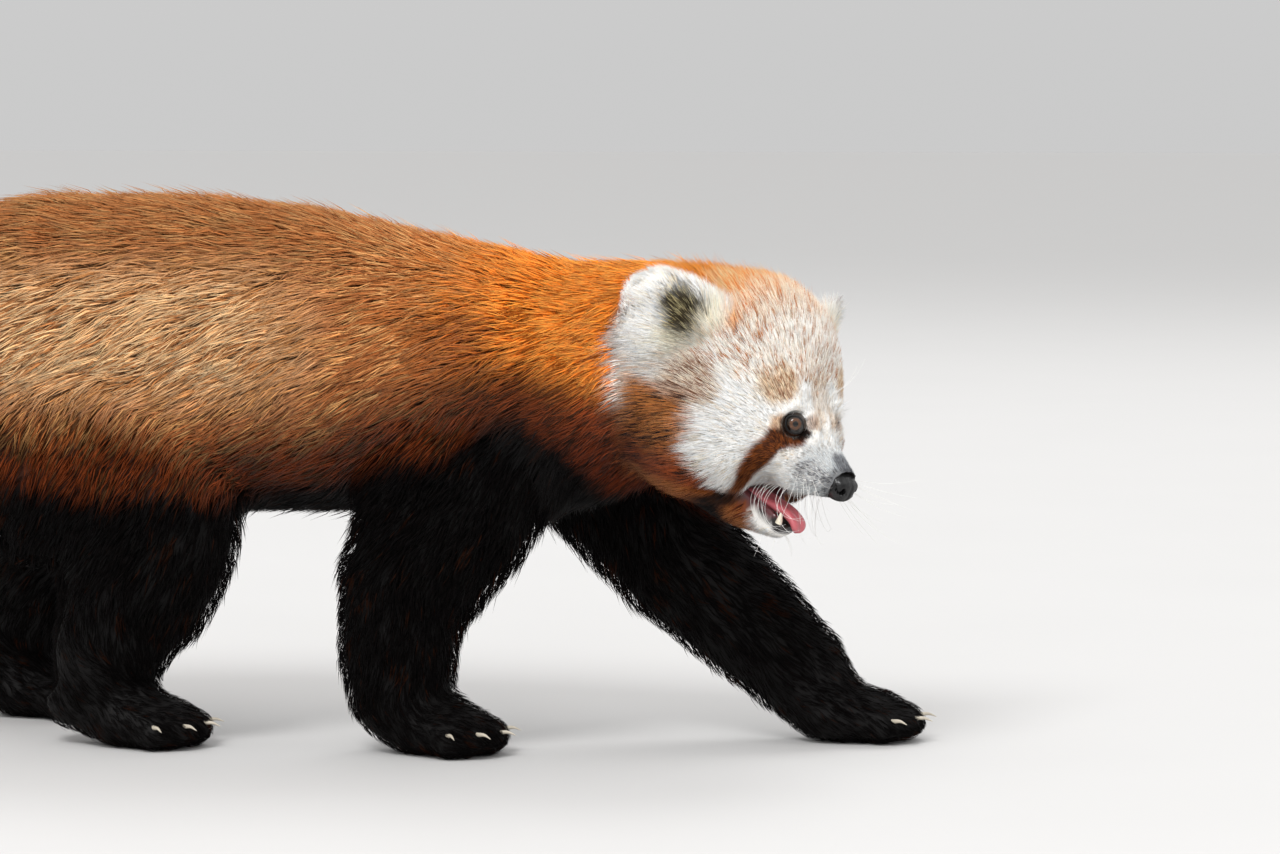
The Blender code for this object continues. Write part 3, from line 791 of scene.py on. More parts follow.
def refined(mesh):
    """The same mesh with finer faces on the face: once round the muzzle and eyes, twice closer in."""
    bm = bmesh.new()
    bm.from_mesh(mesh)
    middle = Vector(from_head(FACE_MIDDLE))
    for reach in FINER_WITHIN:
        near = {vertex for vertex in bm.verts if (vertex.co - middle).length < reach * MM}
        edges = [edge for edge in bm.edges if near.issuperset(edge.verts)]
        bmesh.ops.subdivide_edges(bm, edges=edges, cuts=1, use_grid_fill=True)
    bmesh.ops.triangulate(bm, faces=bm.faces)
    bm.to_mesh(mesh)
    bm.free()
    return mesh


def sculpted(skin):
    """The skin's own places: the coat's surface drawn in by the coat's depth, with its face modelled."""
    places = skin.outer - skin.normals * skin.depth[:, None]
    places = smoothed(places, skin.edges, 4, 0.4)
    ears = skin.share("ear", times=8)
    places = eased(skin, places, ramp(ears * (1 - ears), 0.04, 0.2), 24)
    places = lower_lip(skin, places)
    places = nose_collar(places)
    places = bridge_sides(skin, places)
    for side in SIDES:
        places = hollowed_ear(skin, places, side)
        places = opened_eye(places, side)
    return places


def eased(skin, places, mask, times):
    """Places smoothed where the mask is 1."""
    return places + (smoothed(places, skin.edges, times) - places) * mask[:, None]


def lower_lip(skin, places):
    """Raises a soft rim along both sides of the lower jaw, round the tongue and the canines."""
    ahead, aside, up = skin.local.T
    facing = ramp(skin.normals @ HEAD_AXES[2], 0.0, 0.5) * (skin.kinds == "jaw")
    rim = ramp(np.abs(aside), 5.2, 7.4) * ramp(ahead, -56, -48) * ramp(up, -46, -40)
    return places + HEAD_AXES[2] * (4.5 * rim * facing)[:, None] * MM


def nose_collar(places):
    """Draws the muzzle's front end forwards, so that it fits closely round the nose pad's middle."""
    pad = from_head(NOSE_PAD_AT)
    away = places - pad
    reach = np.linalg.norm(away, axis=1)
    angle = np.degrees(np.arccos(away @ HEAD_AXES[0] / reach))
    near = ramp(reach, 13.5 * MM, 10.5 * MM) * ramp(angle, 140, 120)
    away = away + HEAD_AXES[0] * (4.5 * near)[:, None] * MM
    reach = np.linalg.norm(away, axis=1)
    wanted = np.minimum(reach, NOSE_COLLAR * MM) * near + reach * (1 - near)
    return pad + away * (wanted / reach)[:, None]


def bridge_sides(skin, places):
    """Raises a ridge on each side of the nose's bridge, in front of the eye's inner corner."""
    ridge = blob(folded(skin.local), (-24, 9, 21), (8, 5, 11))
    return places + skin.normals * (2.2 * ridge)[:, None] * MM


def hollowed_ear(skin, places, side):
    """Presses the ear's front in between its rims."""
    _, axes = ear_frame(side)
    out, front, rise = in_ear(skin.outer, side).T
    facing = ramp(skin.normals @ axes[0], 0.05, 0.5) * (skin.kinds == "ear")
    dent = 8.0 * facing * ramp(np.abs(front), 27, 8) * ramp(rise, 0, 12) * ramp(rise, 52, 34) * (out > 0)
    return places - axes[0] * dent[:, None] * MM


def sided(point, side):
    """A point or direction given for the head's right side, for either side."""
    return np.array(point) * np.array([1, SIDES[side], 1])


def from_eye(places, side):
    """For each place, its distance from the eyeball's middle and its angle from the lids' opening."""
    away = places - box_middle(f"eye_{side}")
    reach = np.maximum(np.linalg.norm(away, axis=1), 1e-9)
    facing = away @ (unit(sided(LIDS_FACE, side)) @ HEAD_AXES) / reach
    return away, reach, np.degrees(np.arccos(np.clip(facing, -1, 1)))


def opened_eye(places, side):
    """Draws the skin behind the eyeball where the lids part, and over it elsewhere."""
    away, reach, angle = from_eye(places, side)
    near = reach < 2.2 * EYE_RADIUS * MM
    lid = (EYE_RADIUS + 0.5 * ramp(angle, 100, 60)) * MM
    covered = np.where(angle < 105, np.maximum(reach, lid), reach)
    wanted = np.where(angle < OPENED_TO, 0.78 * EYE_RADIUS * MM, covered)
    return places + away * (near * (wanted / reach - 1))[:, None]


def mouth_reach(local):
    """How far each point is from the open mouth's middle line: 1 is at its wall."""
    ahead, aside, up = local.T
    rows = np.array(MOUTH, float)
    middle, wide, deep = (np.interp(ahead, rows[:, 0], rows[:, i]) for i in (1, 2, 3))
    reach = np.hypot(aside / wide, (up - middle) / deep)
    return np.where((ahead > -60) & (ahead < 0), reach, 9.0)


def bare_skin(skin):
    """1 where no hair grows: the mouth, the lips' edges, the eyes' openings and under the nose pad."""
    local = to_head(skin.inner)
    reach = mouth_reach(local)
    inside = ramp(reach, 1.16, 1.04) * np.isin(skin.kinds, ("head", "jaw"))
    lip_edge = np.interp(local[:, 0], (-47, -37, -30), (-22, -32, -37.5))
    lip = (skin.kinds == "jaw") * ramp(local[:, 2] - lip_edge, -1, 1)
    nose = ramp(np.linalg.norm(local - np.array(NOSE_PAD_AT), axis=1), NOSE_COLLAR, NOSE_COLLAR - 0.3)
    eyes = np.zeros(len(local))
    for side in SIDES:
        _, reach, angle = from_eye(skin.inner, side)
        eyes = np.maximum(eyes, ramp(angle, BARE_TO, BARE_TO - 4) * (reach < 12 * MM))
    return np.clip(inside + lip + nose + eyes, 0, 1)


# The lie of the hair


def lie_of_hair(skin):
    """The direction in which the hair lies at each vertex, along the skin."""
    sideways = np.abs(skin.normals[:, 1])
    level = np.zeros(len(sideways))
    lie = np.column_stack([-np.ones(len(sideways)), level, -0.42 * sideways - 0.05])
    tail_run = unit(box_middle("tail_3") - box_middle("tail_1"))
    lie[skin.kinds == "tail"] = tail_run
    for leg in LEGS:
        down = unit(box_middle(f"{leg}_paw") - box_middle(f"{leg}_upper"))
        toes = np.array([0.85, 0.0, -0.5])
        rules = {"upper": down * 0.8 + np.array([-0.45, 0, -0.1]), "lower": down, "paw": toes}
        for part, run in rules.items():
            lie[skin.on(f"{leg}_{part}")] = unit(run)
    head = np.isin(skin.kinds, ("head", "jaw"))
    lie[head] = lie_on_head(skin.local[head])
    for side in SIDES:
        ear = skin.on(f"ear_{side}")
        lie[ear] = lie_on_ear(skin, ear, side)
    for _ in range(3):
        lie = smoothed(lie, skin.edges, 6)
        lie = unit(lie - skin.normals * np.sum(lie * skin.normals, axis=1, keepdims=True))
    return lie


def lie_on_head(local):
    """Hair sweeps away from the nose, down and back over the cheeks, up and back over the forehead."""
    ahead, aside, up = local.T
    run = unit(local - np.array([-2.0, 0.0, -2.0]))
    cheek = ramp(np.abs(aside), 16, 40) * ramp(up, 34, 6)
    run = run + np.column_stack([-0.5 * cheek, 0.15 * np.sign(aside) * cheek, -0.55 * cheek])
    throat = ramp(up, -20, -34)
    run = run + np.column_stack([-0.6 * throat, 0 * throat, -0.2 * throat])
    nape = ramp(ahead, -80, -110)
    run = run * (1 - nape)[:, None] + np.array([-1.0, 0.0, -0.25]) * nape[:, None]
    return unit(run) @ HEAD_AXES


def lie_on_ear(skin, chosen, side):
    """Hair fans out from the dark patch to the rims, and on the back it runs to the tip."""
    _, axes = ear_frame(side)
    out, front, rise = in_ear(skin.outer[chosen], side).T
    facing = ramp(skin.normals[chosen] @ axes[0], -0.2, 0.3)[:, None]
    fan = np.column_stack([0 * out, front - EAR_PATCH_AT[0] - 3, rise - 4])
    plain = np.array([0.0, 0.0, 1.0])
    return unit(unit(fan) * facing + plain * (1 - facing)) @ axes


# The coat's marks


# Each mark's hair, tips and flecks, and the chance that a tuft is a fleck. A colour is one of the coat's
# settings, such a one times a factor, or a mark's own screen values
MARKS = {
    "back": ("brown", ("brown", 1.7), "blond", 0.36),
    # Painted light: a pool of sunlight on the rear back and flank.
    "sunlit_back_patch": ((240, 190, 134), (255, 226, 178), (170, 112, 66), 0.26),
    "spine": (("brown", 0.8), ("blond", 0.8), ("dark", 1.4), 0.26),
    "shoulders": ("orange", "gold", ("orange", 0.42), 0.2),
    # Painted shade in the fold behind the shoulder.
    "shade_behind_shoulder": ((146, 76, 30), "brown", "rust", 0.3),
    "lower_neck": (("rust", 1.05), ("rust", 1.8), ("dark", 0.7), 0.3),
    "neck_ruff": ((178, 96, 54), (218, 142, 94), "rust", 0.3),
    "flank": (("rust", 0.45), ("rust", 0.85), ("dark", 0.5), 0.3),
    "belly_and_legs": ("black", ("black", 1.5), ("dark", 0.3), 0.06),
    "tail": (("rust", 1.2), ("orange", 0.9), "dark", 0.25),
    "tail_rings": (("blond", 0.95), ("blond", 1.25), ("brown", 1.1), 0.25),
    "tail_tip": (("dark", 0.55), ("dark", 0.8), "black", 0.4),
    "face": ("white", ("white", 1.1), ("cream", 0.8), 0.12),
    "forehead": ("cream", "white", (172, 108, 52), 0.15),
    "warm_forehead": ((250, 204, 142), "cream", (188, 108, 48), 0.27),
    "crown": ((255, 172, 92), (255, 220, 168), "orange", 0.4),
    "ear_stripe": ("orange", "gold", "rust", 0.2),
    "cheek_streaks": ((226, 186, 142), "cream", (128, 70, 36), 0.42),
    "ruff": ((186, 86, 30), (242, 158, 82), ("dark", 0.6), 0.4),
    "deep_ruff": (("rust", 0.62), ("rust", 2.2), ("dark", 0.4), 0.42),
    "ear_fringe": ("white", "white", "cream", 0.2),
    "throat": ("black", ("black", 1.6), "dark", 0.1),
    "nape": ((255, 156, 46), (255, 156, 56), ("orange", 0.42), 0.2),
    "jaw": ((176, 88, 34), (222, 146, 84), ("rust", 0.7), 0.35),
    "brow": ((230, 192, 148), (244, 216, 178), (140, 84, 42), 0.42),
    "brow_spot": ("white", ("white", 1.1), ("cream", 0.6), 0.1),
    "beside_eye": ((212, 158, 106), (236, 200, 152), (140, 76, 34), 0.3),
    "bridge": ((226, 188, 144), "cream", (166, 112, 68), 0.35),
    "tear": ((118, 58, 24), (164, 92, 44), ("dark", 0.8), 0.35),
    "muzzle": ((208, 211, 212), (234, 236, 236), (112, 114, 120), 0.16),
    "muzzle_sides": ((206, 206, 206), "white", (78, 78, 84), 0.36),
    "muzzle_top": ((126, 130, 138), (112, 114, 120), (60, 60, 64), 0.35),
    "nose_edge": ((84, 84, 88), (112, 114, 120), (40, 40, 42), 0.4),
    "eye_front": ((172, 128, 100), (206, 168, 138), "dark", 0.3),
    "lids": (("dark", 0.8), ("dark", 1.2), "black", 0.5),
    "eye_corner": (("dark", 0.7), "dark", "black", 0.5),
    "ear_back": (("rust", 0.9), "rust", "dark", 0.4),
    "ear_front": ("white", ("white", 1.1), ("cream", 0.95), 0.25),
    "ear_cream": ((232, 222, 184), (240, 232, 200), "cream", 0.3),
    # Dark hair in the ear's hollow, partly painted shade.
    "ear_patch_with_shade": ((32, 26, 18), (70, 60, 40), (190, 178, 134), 0.2),
    "bare_skin": ((26, 21, 21), (26, 21, 21), (26, 21, 21), 0.0),
    "mouth": ((96, 42, 46), (26, 21, 21), (26, 21, 21), 0.0),
}


class Marks:
    """The coat's colours at each vertex: hair, tips, and flecks that some tufts take instead."""

    def __init__(self, count, coat):
        self.coat = coat
        self.hair, self.tips, self.fleck = (np.zeros((count, 3)) for _ in range(3))
        self.chance = np.zeros((count, 1))

    def colour(self, given):
        """A colour that the table of marks gives, made linear."""
        if isinstance(given, str):
            return tuple(getattr(self.coat, given))
        if isinstance(given[0], str):
            return toned(getattr(self.coat, given[0]), given[1])
        return linear(*given)

    def lay(self, name, mask, chance=None):
        """Lays a mark over those already there, where the mask is 1."""
        *colours, usual = MARKS[name]
        mask = np.clip(mask, 0, 1)[:, None]
        values = [self.colour(given) for given in colours] + [usual if chance is None else chance]
        for field, value in zip(("hair", "tips", "fleck", "chance"), values):
            old = getattr(self, field)
            setattr(self, field, old + (np.array(value, float) - old) * mask)


def marks_of(skin):
    """All the animal's marks."""
    marks = Marks(len(skin.outer), bpy.context.scene.panda_coat)
    marks.lay("back", np.ones(len(skin.outer)))
    mark_trunk(skin, marks)
    mark_tail(skin, marks)
    mark_head(skin, marks)
    mark_ears(skin, marks)
    mark_bare_skin(skin, marks)
    return marks


def mark_trunk(skin, marks):
    """Orange shoulders, red-brown lower neck and flank, black belly and legs, painted sunlight and shade.
    """
    x, y, z = skin.outer.T / MM
    border_x, border_z = np.array(FLANK_BORDER, float).T
    uneven = 4 * waves(skin.outer, 0.05, 1)
    border = np.interp(x - 8 * ramp(y, -10, 30), border_x, border_z) + uneven
    # Painted light: a lighter patch on the rear back and flank stands for a pool of sunlight.
    pale = ramp(x + 10 * waves(skin.outer, 0.04, 9), 150, 80) * ramp(z, 165, 205) * ramp(z, 272, 236)
    marks.lay("sunlit_back_patch", 0.85 * pale)
    spine = ramp(x + 8 * waves(skin.outer, 0.05, 10), 190, 100) * ramp(z, 238, 276)
    marks.lay("spine", 0.4 * spine)
    shoulders = oval(x, z, (280, 236), (112, 86)) + 0.07 * waves(skin.outer, 0.03, 2)
    marks.lay("shoulders", ramp(shoulders, 1.15, 0.4))
    # Painted shade: a darker red-brown patch behind the shoulder, where shade falls between the locks.
    shoulder_shade = oval(x, z, (198, 212), (34, 34)) + 0.15 * waves(skin.outer, 0.02, 11)
    marks.lay("shade_behind_shoulder", 0.6 * ramp(shoulder_shade, 1.0, 0.3))
    neck = ramp(x, 236, 270) * ramp(z + 5 * waves(skin.outer, 0.03, 3), 206, 178)
    marks.lay("lower_neck", 0.95 * neck)
    marks.lay("neck_ruff", 0.7 * (ramp(x, 278, 300) * ramp(z, 146, 160) * ramp(z, 200, 176)))
    marks.lay("flank", 0.95 * ramp(z - border, 52, 12))
    marks.lay("belly_and_legs", ramp(border - z, -9, 6) * (1 - skin.share("tail")))


def mark_tail(skin, marks):
    """Rust and buff rings of unequal width, and a dark tip."""
    root, tip = box_middle("rump"), box_middle("tail_3")
    run = unit(tip - root)
    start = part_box("tail_1")[1][0]
    along = (skin.outer - np.array([start, 0, root[2]])) @ run / MM
    along = along + 2.5 * waves(skin.outer, 0.03, 4)
    tail = skin.share("tail")
    marks.lay("tail", tail)
    ring = (along % TAIL_RING) / TAIL_RING
    marks.lay("tail_rings", tail * (ramp(ring, 0.50, 0.60) * ramp(ring, 0.98, 0.90)))
    marks.lay("tail_tip", tail * ramp(along, 288, 304))


def mark_head(skin, marks):
    """All the head's marks, each over the ones before it."""
    both = folded(skin.local)
    wavy = 3.0 * waves(skin.outer, 0.014, 5)
    head = skin.share("head", "jaw", "ear", times=4)
    mark_crown(marks, both, wavy, head)
    mark_ruff(marks, both, wavy, head)
    mark_throat(skin, marks, both, wavy, head)
    mark_brows(skin, marks, both, wavy)
    mark_muzzle(skin, marks, both)


def mark_crown(marks, both, wavy, head):
    """White face, speckled forehead, and orange crown with a stripe to each ear."""
    ahead, _, up = both.T
    face = head * ramp(ahead + wavy, -104, -92)
    marks.lay("face", face)
    forehead = face * ramp(up + 0.3 * wavy, 32, 46)
    marks.lay("forehead", forehead, (0.15 + 0.13 * ramp(ahead, -44, -70))[:, None])
    warm = forehead * ramp(up + wavy, 50, 72) * ramp(ahead, -48, -64)
    marks.lay("warm_forehead", 0.6 * warm)
    marks.lay("crown", head * ramp(ahead + wavy, -60, -86) * ramp(up, 48, 66))
    marks.lay("ear_stripe", head * stripe(both, EAR_STRIPE, EAR_STRIPE_WIDTHS, 3.0))


def mark_ruff(marks, both, wavy, head):
    """Red-brown ruff behind the cheek, darker below, with the ear's white fringe over it."""
    ahead, _, up = both.T
    marks.lay("cheek_streaks", 0.9 * (head * blob(both, (-74, 54, 28), (17, 22, 15))))
    edge = np.interp(up, (-30, -20, -13, -4, 11, 28), (-44, -49, -53, -57, -62, -69))
    ruff = head * ramp(edge - ahead + wavy, -2, 6) * ramp(up + wavy, 28, 18)
    marks.lay("ruff", ruff)
    marks.lay("deep_ruff", 0.9 * (ruff * ramp(up + wavy, 4, -18)))
    fringe = [(-100, 60, 42), (-107, 65, 26), (-106, 65, 8)]
    marks.lay("ear_fringe", stripe(both, fringe, (9, 8, 3.5), 3.0))


def mark_throat(skin, marks, both, wavy, head):
    """Black throat, orange nape, and rust on the jaw's rear."""
    ahead, _, up = both.T
    top = np.interp(ahead, (-90, -72, -49, -42), (-40, -33, -21, -19))
    front = np.interp(up, (-36, -24), (-52, -43))
    throat = head * ramp(up + 0.7 * wavy - top, 1, -6) * ramp(ahead + 0.5 * wavy - front, 0, -5)
    marks.lay("throat", throat)
    marks.lay("nape", skin.share("head", "ear", times=3) * ramp(ahead, -96, -106) * ramp(up, -2, 14))
    jaw = head * ramp(ahead + 0.5 * wavy, -41, -46) * ramp(up, -22, -27) * (1 - throat)
    marks.lay("jaw", jaw)


def mark_brows(skin, marks, both, wavy):
    """Speckled brows with a white spot each, buff beside the eyes, and the tear marks."""
    marks.lay("brow", 0.8 * blob(both + wavy[:, None], (-39, 26, 39), (13, 12, 11)))
    marks.lay("brow_spot", blob(both, (-31, 9.5, 36), (9, 6.5, 9)))
    marks.lay("beside_eye", 0.75 * blob(both, (-31, 25, 19), (5, 6, 7)))
    bridge = [(-22, 6, 25), (-25, 3, 33), (-31, 3, 44)]
    marks.lay("bridge", 0.6 * stripe(both, bridge, (3.5, 3.5, 4.5), 3.0))
    seen = np.maximum(skin.local[:, 1] > 0, ramp(both[:, 1], 29, 32))
    marks.lay("tear", stripe(both, TEAR_STRIPE, TEAR_STRIPE_WIDTHS) * seen)


def mark_muzzle(skin, marks, both):
    """Greyish white with dark flecks by the nose, dark lids and dark inner corners of the eyes."""
    ahead, side, _ = both.T
    marks.lay("muzzle", blob(both, (-14, 0, -4), (20, 24, 22)) * ramp(ahead, -30, -18))
    marks.lay("muzzle_sides", blob(both, (-13, 14, 0), (9, 8, 7)))
    marks.lay("muzzle_top", 0.8 * blob(both, (-7, 0, 8.5), (8, 6.5, 5)))
    reach = np.linalg.norm(to_head(skin.inner) - np.array(NOSE_PAD_AT), axis=1)
    marks.lay("nose_edge", 0.6 * ramp(reach, 11.5, 9.4))
    marks.lay("eye_front", 0.55 * blob(both, (-24, 9.5, 24), (4, 4, 5)))
    near = np.maximum(skin.local[:, 1] > 0, ramp(side, 17, 20))
    marks.lay("lids", blob(both, (-28.0, 17.5, 20.4), (6.8, 6.8, 6.6)) * near)
    marks.lay("eye_corner", blob(both, (-25.4, 11.6, 17.6), (4.6, 4.4, 3.4)) * near)


def mark_ears(skin, marks):
    """White ears with a dark patch in the hollow, partly painted shade, and red-brown backs."""
    for side in SIDES:
        _, axes = ear_frame(side)
        _, front, rise = in_ear(skin.outer, side).T
        ear = skin.spread(skin.on(f"ear_{side}"), 3)
        facing = ramp(skin.normals @ axes[0], -0.25, 0.15)
        marks.lay("ear_back", ear * (1 - facing))
        marks.lay("ear_front", ear * np.maximum(facing, ramp(rise, 34, 46)))
        reach = oval(front, rise, EAR_PATCH_AT, EAR_PATCH_RADII)
        marks.lay("ear_cream", ear * facing * ramp(reach, 2.0, 1.1) * ramp(rise, 24, 4))
        # The dark patch is partly dark hair and partly painted shade in the ear's hollow.
        patch = ear * facing * ramp(reach + 0.12 * waves(skin.outer, 0.01, 6), 1.15, 0.6)
        marks.lay("ear_patch_with_shade", patch)


def mark_bare_skin(skin, marks):
    """Dark lips and gums, a maroon mouth, black skin round the eyes and under the nose pad."""
    marks.lay("bare_skin", skin.bare)
    local = to_head(skin.inner)
    deep = ramp(mouth_reach(local), 1.08, 0.98) * (local[:, 0] < -22) * (local[:, 2] > -30)
    marks.lay("mouth", 0.8 * deep)


# The coat


# A straight tuft is a closed spike on a flat ridged section. A bent one is a spindle, pointed at both
# ends and widest at such a section half way along. Each one's corners also have a place on its square
# of the bake map
STRAIGHT_TUFT = np.array([(0, 1, 2), (0, 2, 3), (2, 1, 3), (1, 0, 3)])
STRAIGHT_SPOTS = np.array([(0, 0), (1, 0), (0.5, 0.35), (0.5, 1)])
BENT_TUFT = np.array([(1, 2, 0), (3, 1, 0), (2, 3, 0), (2, 1, 4), (1, 3, 4), (3, 2, 4)])
BENT_SPOTS = np.array([(0.5, 0), (0, 0.4), (1, 0.4), (0.5, 0.6), (0.5, 1)])
# The side of a tuft's square on the bake map
TUFT_PATCH = 0.003
# How deep a root stands in the skin, and the least height of any hair over the floor, in millimetres
ROOT_DEPTH, LOWEST_TIP = 0.3, 0.2
# How many tufts stand out of the coat, and by how much
STRAY_SHARE, STRAY_RISE = 0.05, 1.35
# How many flecks come as whole locks, and how many straight or bent tufts a lock has
LOCK_SHARE, LOCK_SIZES = 0.6, (7, 12)
FACE_ENDS = -64

# Each piece of the coat: its nodes in strips, how many tufts it has, its slot and its material
COAT_PIECES = {
    "coat_face": ([("face",)], 49000, "face_coat", "white"),
    "coat_cheeks": ([("cheeks",)], 49000, "face_coat", "white"),
    "coat_ears": ([("ear_right",), ("ear_left",)], 24000, "ear_coat", "white"),
    "coat_neck": ([("neck",)], 26000, "rust_coat", "rust"),
    "coat_chest": ([("chest",)], 32800, "rust_coat", "rust"),
    "coat_rump": ([("rump",)], 32800, "rust_coat", "rust"),
    "coat_tail": ([TAIL], 32000, "tail_coat", "rust"),
    "coat_forelegs": ([LEG_NODES[leg] for leg in LEGS[:2]], 22000, "black_coat", "black"),
    "coat_hindlegs": ([LEG_NODES[leg] for leg in LEGS[2:]], 22000, "black_coat", "black"),
}


def strip_axis(nodes):
    """The line that a strip's hair is unrolled round: a point and a direction."""
    if nodes[0] in ("face", "cheeks"):
        return from_head((-60, 0, 20)), HEAD_AXES[0]
    if len(nodes) == 1:
        ear = nodes[0].startswith("ear")
        return box_middle(*nodes), ear_frame(nodes[0][4:])[1][2] if ear else np.array([1.0, 0.0, 0.0])
    start, end = box_middle(nodes[0]), box_middle(nodes[-1])
    return (start + end) / 2, unit(end - start)


def unrolled(places, axis, strip, strips):
    """Places unrolled round an axis into one of several strips side by side, each from 0 to 1."""
    at, run = axis
    away = places - at
    first = unit(np.cross(run, np.array([0.3, 0.2, 1.0])))
    second = np.cross(run, first)
    turn = np.arctan2(away @ second, away @ first) / (2 * math.pi) + 0.5
    along = away @ run
    along = (along - along.min()) / (along.max() - along.min())
    inset = 2 * TUFT_PATCH
    rows = np.column_stack([(strip + inset + (1 - 2 * inset) * turn) / strips, along])
    return inset + (1 - 2 * inset) * rows


def owners_of(skin):
    """The name of the node, or of the part of the head, that each triangle of the skin lies on."""
    names = np.array(FLESH)[skin.nearest[skin.triangles[:, 0]]]
    ahead = skin.local[skin.triangles[:, 0], 0]
    head = np.isin(names, ("head", "lower_jaw"))
    return np.where(head, np.where(ahead > FACE_ENDS, "face", "cheeks"), names)


def scattered(skin, chosen, count, rng):
    """Random roots on the chosen triangles: triangle, and the shares of its corners."""
    corners = skin.inner[skin.triangles[chosen]]
    area = np.linalg.norm(np.cross(corners[:, 1] - corners[:, 0], corners[:, 2] - corners[:, 0]), axis=1)
    need = area / skin.width[skin.triangles[chosen]].mean(axis=1) ** 1.2
    need = need * (1 - skin.bare[skin.triangles[chosen]].max(axis=1)).clip(0, 1)
    picked = chosen[rng.choice(len(chosen), count, p=need / need.sum())]
    shares = rng.dirichlet((1, 1, 1), count)
    return picked, shares


def resting(skin, places):
    """The nearest places on the skin to the given ones, and their triangles."""
    found = [skin.tree.find_nearest(place) for place in places.tolist()]
    return np.array([hit[0] for hit in found]), np.array([hit[2] for hit in found])


def swung(lie, normal, angle):
    """Directions turned by an angle round the skin's normal."""
    return lie * np.cos(angle)[:, None] + np.cross(normal, lie) * np.sin(angle)[:, None]


def gathered(root, tip, size, clump, rng):
    """Tips drawn towards the nearest of a few leading tufts' tips, and the number of each one's lock."""
    leaders = rng.choice(len(root), len(root) // size, replace=False)
    tree = kdtree.KDTree(len(leaders))
    for number, leader in enumerate(leaders):
        tree.insert(root[leader], number)
    tree.balance()
    lock = np.array([tree.find(place)[1] for place in root.tolist()])
    lead = leaders[lock]
    shift = (tip[lead] - root[lead]) - (tip - root) + 0.7 * (root[lead] - root)
    return tip + shift * clump * rng.uniform(0.4, 1.3, len(root))[:, None], lock


def tuft_lines(skin, picked, shares, size, coat, rng):
    """Each tuft's root, middle, tip, normals and width, the triangle it lies over and its lock's number."""
    def at(field):
        """A field of the skin at each root."""
        rows = field[skin.triangles[picked]]
        return np.einsum("nc,nc...->n...", shares, rows)

    count = len(picked)
    normal, lie = unit(at(skin.normals)), unit(at(skin.lie))
    root = at(skin.inner)
    span = at(skin.span) * coat.hair * rng.uniform(0.65, 1.25, count)
    rise = at(skin.loft) * rng.uniform(0.55, 1.15, count)
    stray = rng.random(count) < STRAY_SHARE
    rise = np.where(stray, rise * STRAY_RISE, rise)
    angle = 0.15 * waves(root, 0.022, 7) + 0.11 * waves(root, 0.007, 8) + rng.normal(0, 0.12, count)
    lie = swung(lie, normal, angle)
    middle, under = resting(skin, root + lie * span[:, None] * 0.5)
    middle_normal = unit(skin.normals[skin.triangles[under]].mean(axis=1))
    onward = unit(skin.lie[skin.triangles[under]].mean(axis=1))
    onward = swung(onward, middle_normal, angle + rng.normal(0, 0.1, count))
    tip, where = resting(skin, middle + onward * span[:, None] * 0.5)
    tip_normal = unit(skin.normals[skin.triangles[where]].mean(axis=1))
    tip, lock = gathered(root, tip, size, coat.clump, rng)
    middle = middle + middle_normal * (rise * 0.72)[:, None]
    tip = tip + tip_normal * rise[:, None]
    root = root - normal * ROOT_DEPTH * MM
    width = at(skin.width) * rng.uniform(0.75, 1.25, count)
    return (root, middle, tip, normal, middle_normal, width), under, lock


def tuft_places(bent, root, middle, tip, normal, middle_normal, width):
    """The vertices of each tuft: its root's point if it is bent, a flat ridged section, and its tip."""
    at, up = (middle, middle_normal) if bent else (root, normal)
    across = unit(np.cross(up, tip - root if bent else middle - root))
    ridge = unit(np.cross(tip - root, across))
    half = (width / 2)[:, None]
    section = [at + across * half, at - across * half, at + ridge * half * 0.7]
    places = np.stack([root, *section, tip] if bent else [*section, tip], axis=1)
    places[..., 2] = np.maximum(places[..., 2], LOWEST_TIP * MM)
    return places


def under_shade(hair):
    """How much darker hair is at its roots, as painted shade deep in the coat: less so where it is pale."""
    return 0.5 + 0.42 * hair.mean(axis=-1, keepdims=True)


def tuft_colours(bent, skin, seen, lock, rng):
    """Root, middle and tip colours of tufts, with the marks of the triangles given, and painted shade at
    the roots.

    Some tufts are flecks, mostly whole locks of them, and locks differ a little in lightness.
    """
    marks, faces = skin.marks, skin.triangles[seen]
    hair, tips, fleck, chance = (
        field[faces].mean(axis=1) for field in (marks.hair, marks.tips, marks.fleck, marks.chance)
    )
    whole = rng.random((lock.max() + 1, 1))[lock]
    own = rng.random((len(seen), 1))
    flecked = (np.where(rng.random((len(seen), 1)) < LOCK_SHARE, whole, own) < chance).astype(float)
    middle = hair * (1 - flecked) + fleck * flecked
    end = tips * (1 - flecked) + fleck * 1.15 * flecked
    own_light = rng.uniform(0.84, 1.16, (len(seen), 1))
    lock_light = rng.uniform(0.86, 1.14, (lock.max() + 1, 1))[lock]
    warmth = 1 + rng.normal(0, 0.04, (len(seen), 1)) * np.array([1.0, 0.0, -1.0])
    # Painted shade: each tuft's root is darkened, as the depth of the coat would shade it.
    root = middle * under_shade(hair)
    rows = [root] + [middle] * 3 + [end] if bent else [root] * 3 + [end]
    return np.clip(np.stack(rows, axis=1) * (own_light * lock_light * warmth)[:, None, :], 0, 1)


def tuft_mesh(name, places, colours, at):
    """One mesh of tufts, with its colours and its bake map. at is each root's place on the map."""
    count, corners = places.shape[:2]
    tuft, spots = (BENT_TUFT, BENT_SPOTS) if corners == 5 else (STRAIGHT_TUFT, STRAIGHT_SPOTS)
    triangles = (tuft[None] + corners * np.arange(count)[:, None, None]).reshape(-1, 3)
    mesh = mesh_of(name, places.reshape(-1, 3), triangles)
    paint(mesh, "Coat", colours.reshape(-1, 3))
    rows = at[:, None, None, :] + ((spots - 0.5)[tuft] * TUFT_PATCH)[None]
    layer = mesh.uv_layers.new(name="OFBake")
    layer.uv.foreach_set("vector", rows.astype(np.float32).ravel())
    return mesh


